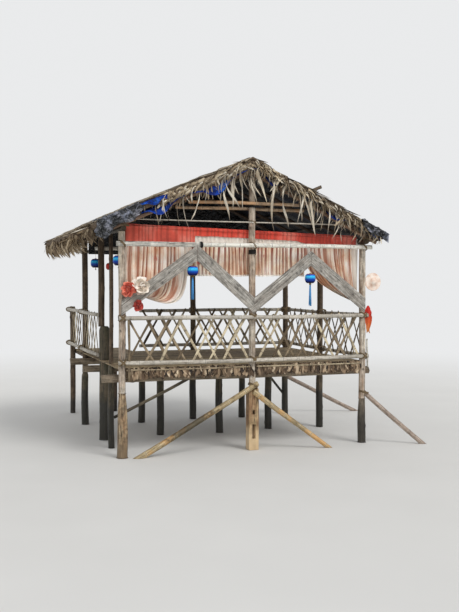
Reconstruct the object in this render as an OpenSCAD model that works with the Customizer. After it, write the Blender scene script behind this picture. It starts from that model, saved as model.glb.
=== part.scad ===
// Open stilt hut of logs, bamboo and palm thatch, standing in shallow water.
// Millimetres, X to the right along the front, Y to the rear, Z up from the water.
// The origin is the foot of the middle stilt of the middle row.

/* [Plan] */
// Front left post to front middle post, centre to centre
left_bay = 2400; // [2000:20:2800]
// Front middle post to front right post, centre to centre
right_bay = 2220; // [1900:20:2600]
// Front posts to rear posts, centre to centre
room_depth = 3800; // [3400:50:4400]
// Thin entrance post behind the front left post
jamb_back = 950; // [800:10:1100]
// Length of the walkway behind the room
walkway_len = 1900; // [1200:50:2600]
// Width of the walkway
walkway_w = 1150; // [900:10:1300]

/* [Heights] */
// Top of the floor above the water
floor_z = 1550; // [1450:10:1800]
// Top of the thick stilts, where the upper posts stand on them
stilt_top = 1120; // [900:10:1180]
// Top of the front right stilt
right_stilt_top = 840; // [700:10:1100]
// Top of the heavy stilt by the entrance, above the floor
newel_rise = 640; // [500:10:750]
// Top rail centre above the floor
rail_high = 870; // [750:10:1000]
// Bottom rail centre above the floor
rail_low = 100; // [80:5:160]
// Front tie beam centre above the floor
tie_rise = 2150; // [2000:10:2250]
// Where the undersides of the rafters meet, above the floor
apex_rise = 3435; // [3300:5:3600]

/* [Logs] */
// Diameter of the upper posts
post_d = 120; // [90:5:150]
// Diameter of the thick front left stilt at its foot
log_foot_d = 215; // [180:5:230]
// Diameter of the front left stilt at its top
log_top_d = 165; // [155:5:190]
// Side of the squared middle stilt
squared_w = 185; // [160:5:210]
// Diameter of the front right stilt
right_stilt_d = 150; // [130:5:180]
// Diameter of the dark inner stilts at the foot
inner_foot_d = 150; // [120:5:180]
// Diameter of the dark inner stilts at the top
inner_top_d = 130; // [125:5:150]
// Diameter of the heavy stilt by the entrance
heavy_d = 215; // [180:5:240]
// Diameter of the thin entrance post
jamb_d = 75; // [60:5:90]
// Diameter of the stout lower half of the long front brace
stout_brace_d = 104; // [90:2:115]
// Diameter of the slender front braces
brace_d = 78; // [60:2:90]
// Diameter of the outriggers
outrigger_d = 85; // [60:5:100]

/* [Floor] */
// Diameter of the girders across the stilts
girder_d = 140; // [110:5:150]
// How far the girders run past the left posts
girder_over_left = 330; // [200:10:380]
// How far the girders run past the right posts
girder_over_right = 190; // [120:10:260]
// Diameter of the joists on the girders
joist_d = 90; // [60:5:100]
// Joists in each bay
joists = 5; // [4:1:7]
// Thickness of the split bamboo floor
deck_t = 25; // [15:1:35]
// Height of the bark mat along the floor edge
mat_h = 165; // [120:5:220]
// Thickness of the bark mat
mat_t = 36; // [20:2:50]

/* [Rails] */
// Diameter of the rail poles
rail_d = 72; // [50:1:85]
// Width of a lattice slat
slat_w = 44; // [30:1:50]
// Thickness of a lattice slat
slat_t = 15; // [10:1:20]
// Depth that crossing slats are let into each other
slat_lap = 5; // [3:1:8]
// Spacing of the slats that lean one way
slat_pitch = 262; // [200:2:330]
// Lean of the slats from upright
slat_lean = 31; // [22:1:38]

/* [Front boards] */
// Depth of the squared tie beam
tie_h = 85; // [60:5:110]
// Thickness of the squared tie beam
tie_t = 50; // [35:5:70]
// Diameter of the bamboo tie poles
tie_pole_d = 78; // [60:2:95]
// Width of the zigzag boards
board_w = 215; // [160:5:240]
// Thickness of the zigzag boards
board_t = 24; // [18:1:32]
// Lower edge of the zigzag boards above the floor at the posts
board_low = 935; // [910:5:1000]
// Zigzag board centre line above the floor at the left peak
board_high_left = 2010; // [1900:10:2080]
// Zigzag board centre line above the floor at the right peak
board_high_right = 1930; // [1850:10:2050]

/* [Roof] */
// Pitch of the left slope
pitch_left = 23; // [20:0.5:27]
// Pitch of the right slope
pitch_right = 26; // [22:0.5:30]
// Diameter of the ridge pole and wall plates
plate_d = 90; // [70:5:110]
// Diameter of the rafters
rafter_d = 68; // [50:2:80]
// Diameter of the purlins
purlin_d = 40; // [30:2:50]
// Roof past the left posts
eave_left = 365; // [300:5:450]
// Roof past the right posts
eave_right = 230; // [180:5:320]
// Roof past the front and rear posts
rake_over = 300; // [250:10:380]
// Thickness of the thatch at the ridge
thatch_t = 85; // [60:5:110]
// Swell of the thatch at the middle of each slope
thatch_swell = 42; // [0:2:60]
// Drop of each thatch course at its lower edge
course_drop = 24; // [15:1:35]
// Courses of thatch on each slope
courses = 9; // [7:1:12]
// Width of the extra thatch strip on the left eave
strip_w = 390; // [300:10:450]
// Where the extra strip starts, behind the front posts
strip_back = 560; // [450:10:700]
// Thickness of the tarpaulin under the thatch
tarp_t = 5; // [4:1:8]
// Half width of the thatch cap on the ridge
cap_w = 270; // [200:5:290]
// Thickness of the ridge cap at the peak
cap_t = 46; // [30:2:60]

/* [Curtains] */
// Diameter of the curtain rod
rod_d = 22; // [16:1:30]
// Height of the left end of the rod above the floor
rod_left = 2470; // [2440:5:2480]
// Height of the right end of the rod above the floor
rod_right = 2325; // [2300:5:2340]
// Thickness of the curtain cloth with its folds
cloth_t = 14; // [8:1:20]
// Drop of the red valance
valance_h = 235; // [180:5:280]
// Hem of the curtain above the floor
hem_rise = 1600; // [1500:10:1700]
// Diameter of the lanterns
lantern_d = 200; // [160:5:230]
// Length of the lantern tails
tail_len = 430; // [300:10:500]
// Diameter of the rosettes that gather the left drape
rosette_d = 250; // [200:5:280]
// Diameter of the straw hat
hat_d = 330; // [260:5:340]

/* [Hidden] */

$fn = 32;
fit = 0.3;
notch = 4;
x_left = -left_bay;
x_right = right_bay;
y_front = -room_depth / 2;
y_rear = room_depth / 2;
y_far = y_rear + walkway_len;
y_walk_post = y_far - 150;
post_r = post_d / 2;
x_jamb = x_left;
y_jamb = y_front + jamb_back;

// Floor levels
joist_z = floor_z - deck_t - joist_d / 2 - fit;
girder_z = joist_z - joist_d / 2 - girder_d / 2 - fit;
girder_in = post_r + girder_d / 2 + fit;
girder_ys = [y_front + girder_in, girder_in, y_rear - girder_in];
inner_top = girder_z - girder_d / 2 - fit;
bay_mid_left = x_left / 2;
bay_mid_right = x_right / 2;

// Roof lines: a point s down the slope and t above the rafters' underside
half_diff = (pitch_right - pitch_left) / 2;
half_sum = (pitch_right + pitch_left) / 2;
ridge_drop = (plate_d / 2 + fit) * cos(half_diff) / cos(half_sum);
ridge_pole_x = -(post_r + plate_d / 2 + fit);
ridge_x = ridge_pole_x + ridge_drop * tan(half_diff);
apex_z = floor_z + apex_rise;
purlin_at = rafter_d + purlin_d / 2 + fit;
tarp_at = rafter_d + purlin_d + 2 * fit;
thatch_at = tarp_at + tarp_t + fit;
run_left = ridge_x - x_left;
run_right = x_right - ridge_x;
slope_left = (run_left + eave_left) / cos(pitch_left);
slope_right = (run_right + eave_right) / cos(pitch_right);
y_rake_front = y_front - rake_over;
y_rake_rear = y_rear + rake_over;
roof_len = y_rake_rear - y_rake_front;
y_strip = y_front + strip_back;
plate_drop_left = (plate_d / 2 + fit) / cos(pitch_left);
plate_drop_right = (plate_d / 2 + fit) / cos(pitch_right);
plate_z_left = apex_z - run_left * tan(pitch_left) - plate_drop_left;
plate_z_right = apex_z - run_right * tan(pitch_right) - plate_drop_right;
ridge_pole_z = apex_z - ridge_drop;

// Front layers
post_face = y_front - post_r;
rail_y = post_face - rail_d / 2 - fit;
tie_z = floor_z + tie_rise;
rod_y = y_front + post_r + rod_d / 2 + fit;
rod_slope = (rod_right - rod_left) / (left_bay + right_bay);
valance_y = rod_y + rod_d / 2 + fit;
curtain_y = valance_y + cloth_t + fit;

function rod_z(x) = floor_z + rod_left + (x - x_left) * rod_slope;
function slope_point(s, t, pitch, side) =
    [ridge_x + side * (s * cos(pitch) + t * sin(pitch)),
     apex_z - s * sin(pitch) + t * cos(pitch)];
function ridge_point(t, pitch) = [ridge_x, apex_z + t / cos(pitch)];
function swell(s, length) = thatch_swell * sin(180 * s / length);

// Pole from point a to point b
module pole(a, b, d, d_end = 0) {
    run = b - a;
    far_d = d_end == 0 ? d : d_end;
    translate(a)
        rotate([0, acos(run[2] / norm(run)), atan2(run[1], run[0])])
            cylinder(d1 = d, d2 = far_d, h = norm(run));
}

// Keeps what stands above the water
module above_water() {
    intersection() {
        children();
        translate([-10000, -10000, 0])
            cube([20000, 20000, 8000]);
    }
}

module upright(x, y, z0, z1, d0, d1) {
    translate([x, y, z0])
        cylinder(d1 = d0, d2 = d1, h = z1 - z0);
}

// Shapes in the XZ plane, given a depth in Y
module stand(y0, depth) {
    translate([0, y0 + depth, 0])
        rotate([90, 0, 0])
            linear_extrude(height = depth)
                children();
}

module front_left_stilt() {
    color("#8d7d68")
        upright(x_left, y_front, 0, stilt_top, log_foot_d, log_top_d);
}

// Squared timber from an older building, with the mortises it came with
module front_middle_stilt() {
    mortise_w = 58;
    mortises = [[205, 265], [640, 90]];
    color("#9a8a72")
        difference() {
            translate([-squared_w / 2, y_front - squared_w / 2, 0])
                cube([squared_w, squared_w, stilt_top]);
            for (m = mortises)
                translate([-mortise_w / 2, y_front - squared_w / 2 - 1, m[0]])
                    cube([mortise_w, squared_w + 2, m[1]]);
        }
}

module front_right_stilt() {
    color("#4b4136")
        upright(x_right, y_front, 0, right_stilt_top, right_stilt_d, right_stilt_d);
}

heavy_in = (heavy_d - post_d) / 2;
heavy_at = [x_left + heavy_in, -heavy_in];

module inner_stilts() {
    color("#2f2a24") {
        upright(heavy_at[0], heavy_at[1], 0, floor_z + newel_rise, heavy_d, heavy_d);
        upright(x_jamb, y_jamb, 0, floor_z - deck_t, 118, 105);
        upright(x_right, 0, 0, stilt_top, inner_foot_d, inner_top_d);
        for (x = [x_left, 0, x_right])
            upright(x, y_rear, 0, stilt_top, inner_foot_d, inner_top_d);
        upright(0, 0, 0, floor_z - deck_t, inner_foot_d, post_d - 10);
        for (x = [bay_mid_left, bay_mid_right])
            for (y = [girder_ys[1], girder_ys[2]])
                upright(x, y, 0, inner_top, inner_foot_d, inner_top_d);
    }
}

// Room that the middle stilt takes out of the braces notched against it
module front_middle_seat() {
    translate([-squared_w / 2 - fit, y_front - squared_w / 2 - fit, -100])
        cube([squared_w + 2 * fit, squared_w + 2 * fit, stilt_top + 100 + fit]);
}

// The long brace is a slender pole above and a stout one below, the short one is slender
module front_braces() {
    stilt_face = y_front - squared_w / 2;
    y_brace = stilt_face - brace_d / 2 + notch;
    top = [post_r, y_brace, stilt_top + 95];
    foot = [x_left + 160, y_brace, -60];
    splice = foot + (top - foot) * 0.42;
    color("#8f7a55")
        difference() {
            above_water() {
                pole(top, splice, brace_d);
                pole(splice, foot, stout_brace_d);
                pole([-20, y_brace, stilt_top - 48], [x_right - 720, y_brace - 170, -75], brace_d);
            }
            front_middle_seat();
        }
}

module outriggers() {
    color("#7d6b50")
        above_water() {
            difference() {
                pole([x_right, y_front, right_stilt_top + 150],
                     [x_right + 1110, y_front - 550, -85], outrigger_d);
                upright(x_right, y_front, right_stilt_top, floor_z,
                        post_d + 2 * fit, post_d + 2 * fit);
                upright(x_right, y_front, -1, right_stilt_top + fit,
                        right_stilt_d + 2 * fit, right_stilt_d + 2 * fit);
            }
            difference() {
                pole([x_right, y_rear, stilt_top - 220], [x_right + 1880, y_rear - 80, -60],
                     outrigger_d);
                upright(x_right, y_rear, -1, stilt_top + 1,
                        inner_foot_d + 2 * fit, inner_top_d + 2 * fit);
            }
        }
}

function log_r(z) = (log_foot_d + (log_top_d - log_foot_d) * z / stilt_top) / 2;

// Dark poles under the floor, cut to fit the girders and the corner stilt
module under_braces() {
    d = 52;
    low = stilt_top - 380;
    y_behind = y_front + log_r(low) + d / 2 + fit;
    color("#3a3129")
        difference() {
            union() {
                pole([x_left - 120, y_behind, low - 50],
                     [bay_mid_left + 60, y_behind, girder_z - 30], d);
                pole([x_right, y_rear, low - 320], [bay_mid_right + 330, girder_ys[2], girder_z], d);
            }
            for (y = [girder_ys[0], girder_ys[2]])
                translate([x_left, y, girder_z])
                    rotate([0, 90, 0])
                        cylinder(d = girder_d + 2 * fit, h = left_bay + right_bay);
            upright(x_right, y_rear, 0, stilt_top,
                    inner_foot_d + 2 * fit, inner_top_d + 2 * fit);
        }
}

module floor_girders() {
    color("#4a4033")
        for (y = girder_ys)
            pole([x_left - girder_over_left, y, girder_z],
                 [x_right + girder_over_right, y, girder_z], girder_d);
}

joist_xs = concat(
    [for (i = [0:joists - 1]) x_left + left_bay * (i + 0.5) / joists],
    [for (i = [0:joists - 1]) right_bay * (i + 0.5) / joists]
);

module floor_joists() {
    color("#57493a")
        for (x = joist_xs)
            translate([x, y_rear, joist_z])
                rotate([90, 0, 0])
                    cylinder(d = joist_d, h = room_depth);
}

module post_wells(extra) {
    for (x = [x_left, 0, x_right])
        for (y = [y_front, y_rear])
            translate([x, y, floor_z - deck_t - 1])
                cylinder(d = post_d + extra, h = deck_t + 2);
    translate([x_right, 0, floor_z - deck_t - 1])
        cylinder(d = post_d + extra, h = deck_t + 2);
    translate([heavy_at[0], heavy_at[1], floor_z - deck_t - 1])
        cylinder(d = heavy_d + extra, h = deck_t + 2);
}

module floor_deck() {
    color("#8c7756")
        difference() {
            translate([x_left - post_r, y_front, floor_z - deck_t])
                cube([left_bay + right_bay + post_d, room_depth, deck_t]);
            post_wells(2 * fit);
        }
}

module floor_edge_mat() {
    color("#6b523c")
        for (bay = [[x_left + post_r + 4, -post_r - 4], [post_r + 4, x_right - post_r - 4]])
            translate([bay[0], y_front - mat_t - fit, floor_z - mat_h])
                cube([bay[1] - bay[0], mat_t, mat_h]);
}

// Narrow deck that leads away behind the left half of the room
module walkway() {
    deck_z = floor_z - 60;
    bearer_d = 80;
    bearer_z = deck_z - deck_t - bearer_d / 2 - fit;
    bearer_xs = [x_left + post_r + bearer_d / 2 + fit, x_left + walkway_w - 160];
    y_near = girder_ys[2] + girder_d / 2 + fit;
    color("#5a4d3c") {
        translate([x_left + post_r + fit, y_rear + fit, deck_z - deck_t])
            cube([walkway_w, walkway_len, deck_t]);
        for (x = bearer_xs)
            pole([x, y_near, bearer_z], [x, y_far, bearer_z], bearer_d);
        upright(bearer_xs[1], y_walk_post, 0, bearer_z - bearer_d / 2 - fit, 115, 95);
        upright(x_left, y_walk_post, 0, floor_z + rail_high + 60, post_d, post_d);
    }
}

module front_left_post() {
    color("#a5967f")
        upright(x_left, y_front, stilt_top, plate_z_left - plate_d / 2 - fit, post_d, post_d);
}

module front_middle_post() {
    color("#a5967f")
        upright(0, y_front, stilt_top, ridge_pole_z + 25, post_d, post_d);
}

module front_right_post() {
    color("#8b7c68")
        upright(x_right, y_front, right_stilt_top, plate_z_right - plate_d / 2 - fit,
                post_d, post_d);
}

module side_posts() {
    color("#6a5c4a") {
        upright(x_left, 0, floor_z + newel_rise, plate_z_left - plate_d / 2 - fit, post_d, post_d);
        upright(x_right, 0, stilt_top, plate_z_right - plate_d / 2 - fit, post_d, post_d);
        upright(x_jamb, y_jamb, floor_z, plate_z_left - plate_d / 2 - fit, jamb_d, jamb_d);
    }
}

module rear_posts() {
    color("#6a5c4a") {
        upright(x_left, y_rear, stilt_top, plate_z_left - plate_d / 2 - fit, post_d, post_d);
        upright(0, y_rear, stilt_top, ridge_pole_z + 25, post_d, post_d);
        upright(x_right, y_rear, stilt_top, plate_z_right - plate_d / 2 - fit, post_d, post_d);
    }
}

splice_x = -1000;

module front_tie_beam() {
    color("#978f82")
        translate([x_left - 110, post_face - tie_t - fit, tie_z - tie_h / 2])
            cube([splice_x - x_left + 110, tie_t, tie_h]);
}

module tie_poles() {
    color("#b79d68") {
        pole([splice_x + 1, post_face - tie_pole_d / 2 - fit, tie_z],
             [x_right + 140, post_face - tie_pole_d / 2 - fit, tie_z], tie_pole_d);
        pole([x_left - 110, y_rear + post_r + tie_pole_d / 2 + fit, tie_z],
             [x_right + 110, y_rear + post_r + tie_pole_d / 2 + fit, tie_z], tie_pole_d);
        pole([x_left + post_r - 160, post_r + tie_pole_d / 2 + fit, tie_z],
             [x_right - post_r + 160, post_r + tie_pole_d / 2 + fit, tie_z], tie_pole_d);
    }
}

module wall_plates() {
    color("#6f6350") {
        pole([x_left, y_rake_front + 120, plate_z_left],
             [x_left, y_rake_rear - 120, plate_z_left], plate_d);
        pole([x_right, y_rake_front + 120, plate_z_right],
             [x_right, y_rake_rear - 120, plate_z_right], plate_d);
    }
}

module rail_pair(a, b) {
    pole(a + [0, 0, floor_z + rail_high], b + [0, 0, floor_z + rail_high], rail_d);
    pole(a + [0, 0, floor_z + rail_low], b + [0, 0, floor_z + rail_low], rail_d);
}

rail_past = 75;

module front_rails() {
    color("#a08a62")
        rail_pair([x_left - rail_past, rail_y, 0], [x_right + rail_past, rail_y, 0]);
}

side_rail_x = x_right + post_r + rail_d / 2 + fit;
left_rail_x = x_left - post_r - rail_d / 2 - fit;
rear_rail_y = y_rear + post_r + rail_d / 2 + fit;

module side_rails() {
    color("#8d7a58") {
        rail_pair([side_rail_x, y_front - 30, 0], [side_rail_x, y_rear + 30, 0]);
        rail_pair([left_rail_x, -100, 0], [left_rail_x, y_far, 0]);
    }
}

module rear_rails() {
    color("#8d7a58")
        rail_pair([x_left + walkway_w + 60, rear_rail_y, 0], [x_right + rail_past, rear_rail_y, 0]);
}

// Flat lattice from x0 to x1 between two heights, in the XZ plane, thickness in Y
module lattice(x0, x1, z0, z1) {
    height = z1 - z0;
    reach = height * tan(slat_lean);
    slats = floor((x1 - x0 - reach) / slat_pitch);
    step = (x1 - x0 - reach - slat_w) / slats;
    length = height / cos(slat_lean);
    for (i = [0:slats])
        for (side = [0, 1])
            translate([x0 + slat_w / 2 + i * step + side * reach + wander(i, side),
                       side * (slat_t - slat_lap), z0])
                rotate([0, (1 - 2 * side) * (slat_lean + drift(i, side)), 0])
                    translate([-slat_w / 2, 0, 0])
                        cube([slat_w, slat_t, length]);
}
function wander(i, side) = (i == 0 ? 0 : 14 * sin(97 * i + 140 * side));
function drift(i, side) = 2.2 * sin(151 * i + 60 * side) - 2;

lattice_z0 = floor_z + rail_low - 12;
lattice_z1 = floor_z + rail_high + 12;
lattice_back = rail_d / 2 + fit;

module front_lattice_left() {
    color("#9c8560")
        translate([0, rail_y + lattice_back, 0])
            lattice(x_left + post_r + 8, -post_r - 8, lattice_z0, lattice_z1);
}

module front_lattice_right() {
    color("#9c8560")
        translate([0, rail_y + lattice_back, 0])
            lattice(post_r + 8, x_right - post_r - 8, lattice_z0, lattice_z1);
}

module rear_lattice() {
    color("#85724f")
        translate([0, rear_rail_y - lattice_back - 2 * slat_t + slat_lap, 0])
            for (bay = [[x_left + walkway_w + 90, -post_r - 8], [post_r + 8, x_right - post_r - 8]])
                lattice(bay[0], bay[1], lattice_z0, lattice_z1);
}

module right_lattice() {
    color("#85724f")
        translate([side_rail_x - lattice_back, 0, 0])
            rotate([0, 0, 90])
                for (bay = [[y_front + post_r + 8, -post_r - 8], [post_r + 8, y_rear - post_r - 8]])
                    lattice(bay[0], bay[1], lattice_z0, lattice_z1);
}

module left_lattice() {
    color("#85724f")
        translate([left_rail_x + lattice_back + 2 * slat_t - slat_lap, 0, 0])
            rotate([0, 0, 90]) {
                lattice(post_r + 8, y_rear - post_r - 8, lattice_z0, lattice_z1);
                lattice(y_rear + post_r + 8, y_walk_post - post_r - 8, lattice_z0, lattice_z1);
            }
}

peak_left_x = -1080;
peak_right_x = 1100;
board_under_z = floor_z + board_low;

// Plane of the boards: they lean from the posts onto the tie pole
module on_boards() {
    lean = atan2(tie_pole_d, tie_z - board_under_z);
    translate([0, post_face - fit, board_under_z])
        rotate([lean, 0, 0])
            translate([0, 0, -board_under_z])
                children();
}

// One board from a post to a peak, cut upright at both ends
module zigzag_board(x_post, x_end, x_peak, z_peak) {
    run = x_peak - x_post;
    steep = atan2(z_peak - board_under_z - board_w * 0.6, abs(run));
    half_cut = board_w / cos(steep) / 2;
    rise = (z_peak - half_cut - board_under_z) / run;
    z_end = board_under_z + rise * (x_end - x_post);
    polygon([[x_end, z_end], [x_peak, z_peak - half_cut],
             [x_peak, z_peak + half_cut], [x_end, z_end + 2 * half_cut]]);
}

module zigzag_boards() {
    gap = 1.5;
    over = 20;
    high_left = floor_z + board_high_left;
    high_right = floor_z + board_high_right;
    color("#8e897f")
        on_boards()
            stand(-board_t, board_t) {
                zigzag_board(x_left, x_left - over, peak_left_x - gap, high_left);
                zigzag_board(0, -gap, peak_left_x + gap, high_left);
                zigzag_board(0, gap, peak_right_x - gap, high_right);
                zigzag_board(x_right, x_right + over, peak_right_x + gap, high_right);
            }
}

module ridge_pole() {
    color("#6f6350")
        pole([ridge_pole_x, y_rake_front + 60, ridge_pole_z],
             [ridge_pole_x, y_rake_rear - 60, ridge_pole_z], plate_d);
}

rafter_ys = [y_rake_front + 90, -1290, -430, 430, 1290, y_rake_rear - 170];

module rafter(y, length, pitch, side) {
    start = slope_point(4, rafter_d / 2, pitch, side);
    stop = slope_point(length, rafter_d / 2, pitch, side);
    pole([start[0], y, start[1]], [stop[0], y, stop[1]], rafter_d, rafter_d);
}

module rafters() {
    color("#8a7651")
        for (i = [0:len(rafter_ys) - 1]) {
            reach = i == 0 ? -40 : strip_w - 20;
            rafter(rafter_ys[i], slope_left + reach, pitch_left, -1);
            rafter(rafter_ys[i] + rafter_d + 2, slope_right - 40, pitch_right, 1);
        }
}

purlin_rows = 5;

module purlin_run(s, pitch, side, y0) {
    at = slope_point(s, purlin_at, pitch, side);
    pole([at[0], y0, at[1]], [at[0], y_rake_rear - 30, at[1]], purlin_d);
}

module purlins() {
    color("#8a7651") {
        for (i = [0:purlin_rows - 1]) {
            part = (i + 0.15) / (purlin_rows - 0.8);
            purlin_run(slope_left * part, pitch_left, -1, y_rake_front + 30);
            purlin_run(slope_right * part, pitch_right, 1, y_rake_front + 30);
        }
        purlin_run(slope_left + strip_w - 60, pitch_left, -1, y_strip + 30);
    }
}

collar_d = 58;

module collar_poles() {
    color("#a38e62")
        for (row = [[535, -1], [617, 1]]) {
            z = apex_z - row[0];
            y = y_front + row[1] * (post_r + collar_d / 2 + fit);
            reach_l = (row[0] - collar_d) / tan(pitch_left);
            reach_r = (row[0] - collar_d) / tan(pitch_right);
            pole([ridge_x - reach_l, y, z], [ridge_x + reach_r, y, z], collar_d);
        }
}

// Top line of the thatch: each course thickens to its lower edge, then steps back
function course_tops(length, side, pitch, s0, count) =
    [for (k = [0:count - 1]) for (end = [0, 1])
        let (s = s0 + (length - s0) * (k + end) / count)
        (k == 0 && end == 0 && s0 == 0)
            ? ridge_point(thatch_at + thatch_t, pitch)
            : slope_point(s, thatch_at + thatch_t + swell(s, length) + end * course_drop,
                          pitch, side)];

module thatch_slope(length, pitch, side) {
    tops = course_tops(length, side, pitch, 0, courses);
    bottom = [slope_point(length, thatch_at, pitch, side), ridge_point(thatch_at, pitch)];
    polygon(concat(tops, bottom));
}

module thatch_left() {
    color("#93826a")
        stand(y_rake_front, roof_len)
            translate([-0.5, 0])
                thatch_slope(slope_left, pitch_left, -1);
}

module thatch_right() {
    color("#93826a")
        stand(y_rake_front, roof_len)
            translate([0.5, 0])
                thatch_slope(slope_right, pitch_right, 1);
}

// Extra strip that carries the left eave further out over the entrance
module thatch_strip() {
    s0 = slope_left + 1;
    s1 = slope_left + strip_w;
    tops = [slope_point(s0, thatch_at + 66, pitch_left, -1),
            slope_point((s0 + s1) / 2, thatch_at + 86, pitch_left, -1),
            slope_point((s0 + s1) / 2, thatch_at + 62, pitch_left, -1),
            slope_point(s1, thatch_at + 80, pitch_left, -1),
            slope_point(s1, tarp_at, pitch_left, -1),
            slope_point(s0, tarp_at, pitch_left, -1)];
    color("#84725a")
        stand(y_strip, y_rake_rear - y_strip)
            translate([-1, 0])
                polygon(tops);
}

// Height t of the first course's top line at the edge of the ridge cap
function cap_seat(length, pitch) =
    let (t0 = thatch_at + thatch_t, first = length / courses, back = t0 * tan(pitch))
        t0 + (swell(first, length) + course_drop) * (cap_w + back) / (first + back) + fit;

module ridge_cap() {
    t0 = thatch_at + thatch_t + fit;
    t_l = cap_seat(slope_left, pitch_left);
    t_r = cap_seat(slope_right, pitch_right);
    rim = 18;
    color("#a08f75")
        stand(y_rake_front - 15, roof_len + 30)
            polygon([
                slope_point(cap_w, t_l, pitch_left, -1),
                ridge_point(t0, pitch_right),
                slope_point(cap_w, t_r, pitch_right, 1),
                slope_point(cap_w, t_r + rim, pitch_right, 1),
                slope_point(cap_w * 0.45, t_r + rim, pitch_right, 1),
                ridge_point(t0 + cap_t, pitch_right),
                slope_point(cap_w * 0.45, t_l + rim, pitch_left, -1),
                slope_point(cap_w, t_l + rim, pitch_left, -1)
            ]);
}

module roof_tarp() {
    color("#2c5aa8")
        stand(y_rake_front + 10, roof_len - 20)
            polygon([
                slope_point(slope_left - 5, tarp_at, pitch_left, -1),
                ridge_point(tarp_at, pitch_right),
                slope_point(slope_right - 5, tarp_at, pitch_right, 1),
                slope_point(slope_right - 5, tarp_at + tarp_t, pitch_right, 1),
                ridge_point(tarp_at + tarp_t, pitch_left),
                slope_point(slope_left - 5, tarp_at + tarp_t, pitch_left, -1)
            ]);
}

module black_sheets() {
    sheet_t = 8;
    y_corner = y_rake_front - sheet_t - fit;
    corner_left = slope_point(slope_left, thatch_at, pitch_left, -1);
    corner_right = slope_point(slope_right, thatch_at, pitch_right, 1);
    y_gable = y_rear - post_r - sheet_t - fit;
    gable_low = tie_z - 60;
    color("#23262b") {
        stand(y_corner, sheet_t)
            polygon([corner_left + [-10, -60], corner_left + [390, -40],
                     corner_left + [400, 180], corner_left + [-10, 60]]);
        stand(y_corner, sheet_t)
            polygon([corner_right + [-230, -90], corner_right + [10, -110],
                     corner_right + [10, 40], corner_right + [-230, 130]]);
        stand(y_gable, sheet_t)
            polygon([[x_left + 80, gable_low], [x_right - 80, gable_low],
                     [x_right - 80, plate_z_right - 20],
                     [ridge_pole_x + 60, ridge_pole_z - plate_d],
                     [ridge_pole_x - 60, ridge_pole_z - plate_d],
                     [x_left + 80, plate_z_left - 20]]);
    }
}

module curtain_rod() {
    color("#5d5040")
        pole([x_left + 70, rod_y, rod_z(x_left + 70)],
             [x_right - 70, rod_y, rod_z(x_right - 70)], rod_d);
}

drape_split_l = -1210;
drape_split_r = 1080;
hem_z = floor_z + hem_rise;

module curtain_panel() {
    color("#e6d2bb")
        stand(curtain_y, cloth_t)
            polygon([[drape_split_l, hem_z], [drape_split_r, hem_z],
                     [drape_split_r, rod_z(drape_split_r) - 20],
                     [drape_split_l, rod_z(drape_split_l) - 20]]);
}

module side_drapes() {
    left_end = x_left + 95;
    right_end = x_right - 95;
    color("#e9cdb2") {
        stand(curtain_y, cloth_t)
            polygon([[left_end, rod_z(left_end) - 20], [left_end, hem_z - 450],
                     [left_end + 230, hem_z - 460], [left_end + 620, hem_z - 360],
                     [left_end + 930, hem_z - 200],
                     [drape_split_l - 4, hem_z - 40],
                     [drape_split_l - 4, rod_z(drape_split_l) - 20]]);
        stand(curtain_y, cloth_t)
            polygon([[right_end, rod_z(right_end) - 20], [right_end, hem_z - 550],
                     [right_end - 160, hem_z - 470], [right_end - 480, hem_z - 270],
                     [right_end - 760, hem_z - 70], [drape_split_r + 4, hem_z + 40],
                     [drape_split_r + 4, rod_z(drape_split_r) - 20]]);
    }
}

module red_valance() {
    left_end = x_left + 90;
    right_end = x_right - 90;
    color("#c4493a")
        stand(valance_y, cloth_t)
            polygon([[left_end, rod_z(left_end) - valance_h],
                     [right_end, rod_z(right_end) - valance_h],
                     [right_end, rod_z(right_end)],
                     [left_end, rod_z(left_end)]]);
}

// Drum lantern hung by a thread from z_hang, with a tail below it if tail is above 0
module lantern(x, y, z, z_hang, size, tail = 0) {
    half = size * 0.42;
    translate([x, y, z]) {
        rotate_extrude($fn = 24)
            polygon([[0, -half], [size * 0.3, -half], [size * 0.46, -half * 0.5],
                     [size * 0.5, 0], [size * 0.46, half * 0.5], [size * 0.3, half], [0, half]]);
        if (tail > 0)
            translate([0, 0, -half - tail])
                cylinder(d1 = size * 0.28, d2 = size * 0.16, h = tail, $fn = 16);
        translate([0, 0, half])
            cylinder(d = 5, h = z_hang - z - half - fit, $fn = 16);
    }
}

module lanterns() {
    y_hang = post_face - tie_t / 2;
    plate_under = plate_z_left - plate_d / 2;
    small_d = lantern_d * 0.7;
    color("#2360b4") {
        lantern(peak_left_x - 70, y_hang, tie_z - 460, tie_z - tie_h / 2, lantern_d, tail_len);
        lantern(peak_right_x, post_face - tie_pole_d / 2 - fit, tie_z - 590,
                tie_z - tie_pole_d / 2, lantern_d, tail_len);
        for (y = [y_front + 260, 600])
            lantern(x_left, y, plate_under - 496, plate_under, lantern_d);
        lantern(x_left, y_jamb + jamb_d / 2 + small_d / 2 + 5, plate_under - 586,
                plate_under, small_d);
    }
}

// Straw hat seen from the front, its low crown towards -Y
module straw_hat() {
    color("#d9b184")
        translate([x_right + post_r + hat_d / 2 + fit, y_front, floor_z + 1500])
            rotate([90, 0, 0])
                rotate_extrude($fn = 28)
                    polygon([[0, 0], [hat_d / 2, 0], [hat_d / 2, 6], [hat_d * 0.3, 36],
                             [hat_d * 0.16, 70], [0, 78]]);
}

// Bunch of cloth seen from the front, flat at the back
module rosette(x, z, size, depth) {
    translate([x, -board_t - fit, z])
        rotate([90, 0, 0])
            rotate_extrude($fn = 24)
                polygon([[0, 0], [size * 0.42, 0], [size * 0.5, depth * 0.4],
                         [size * 0.38, depth * 0.85], [0, depth]]);
}

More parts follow.
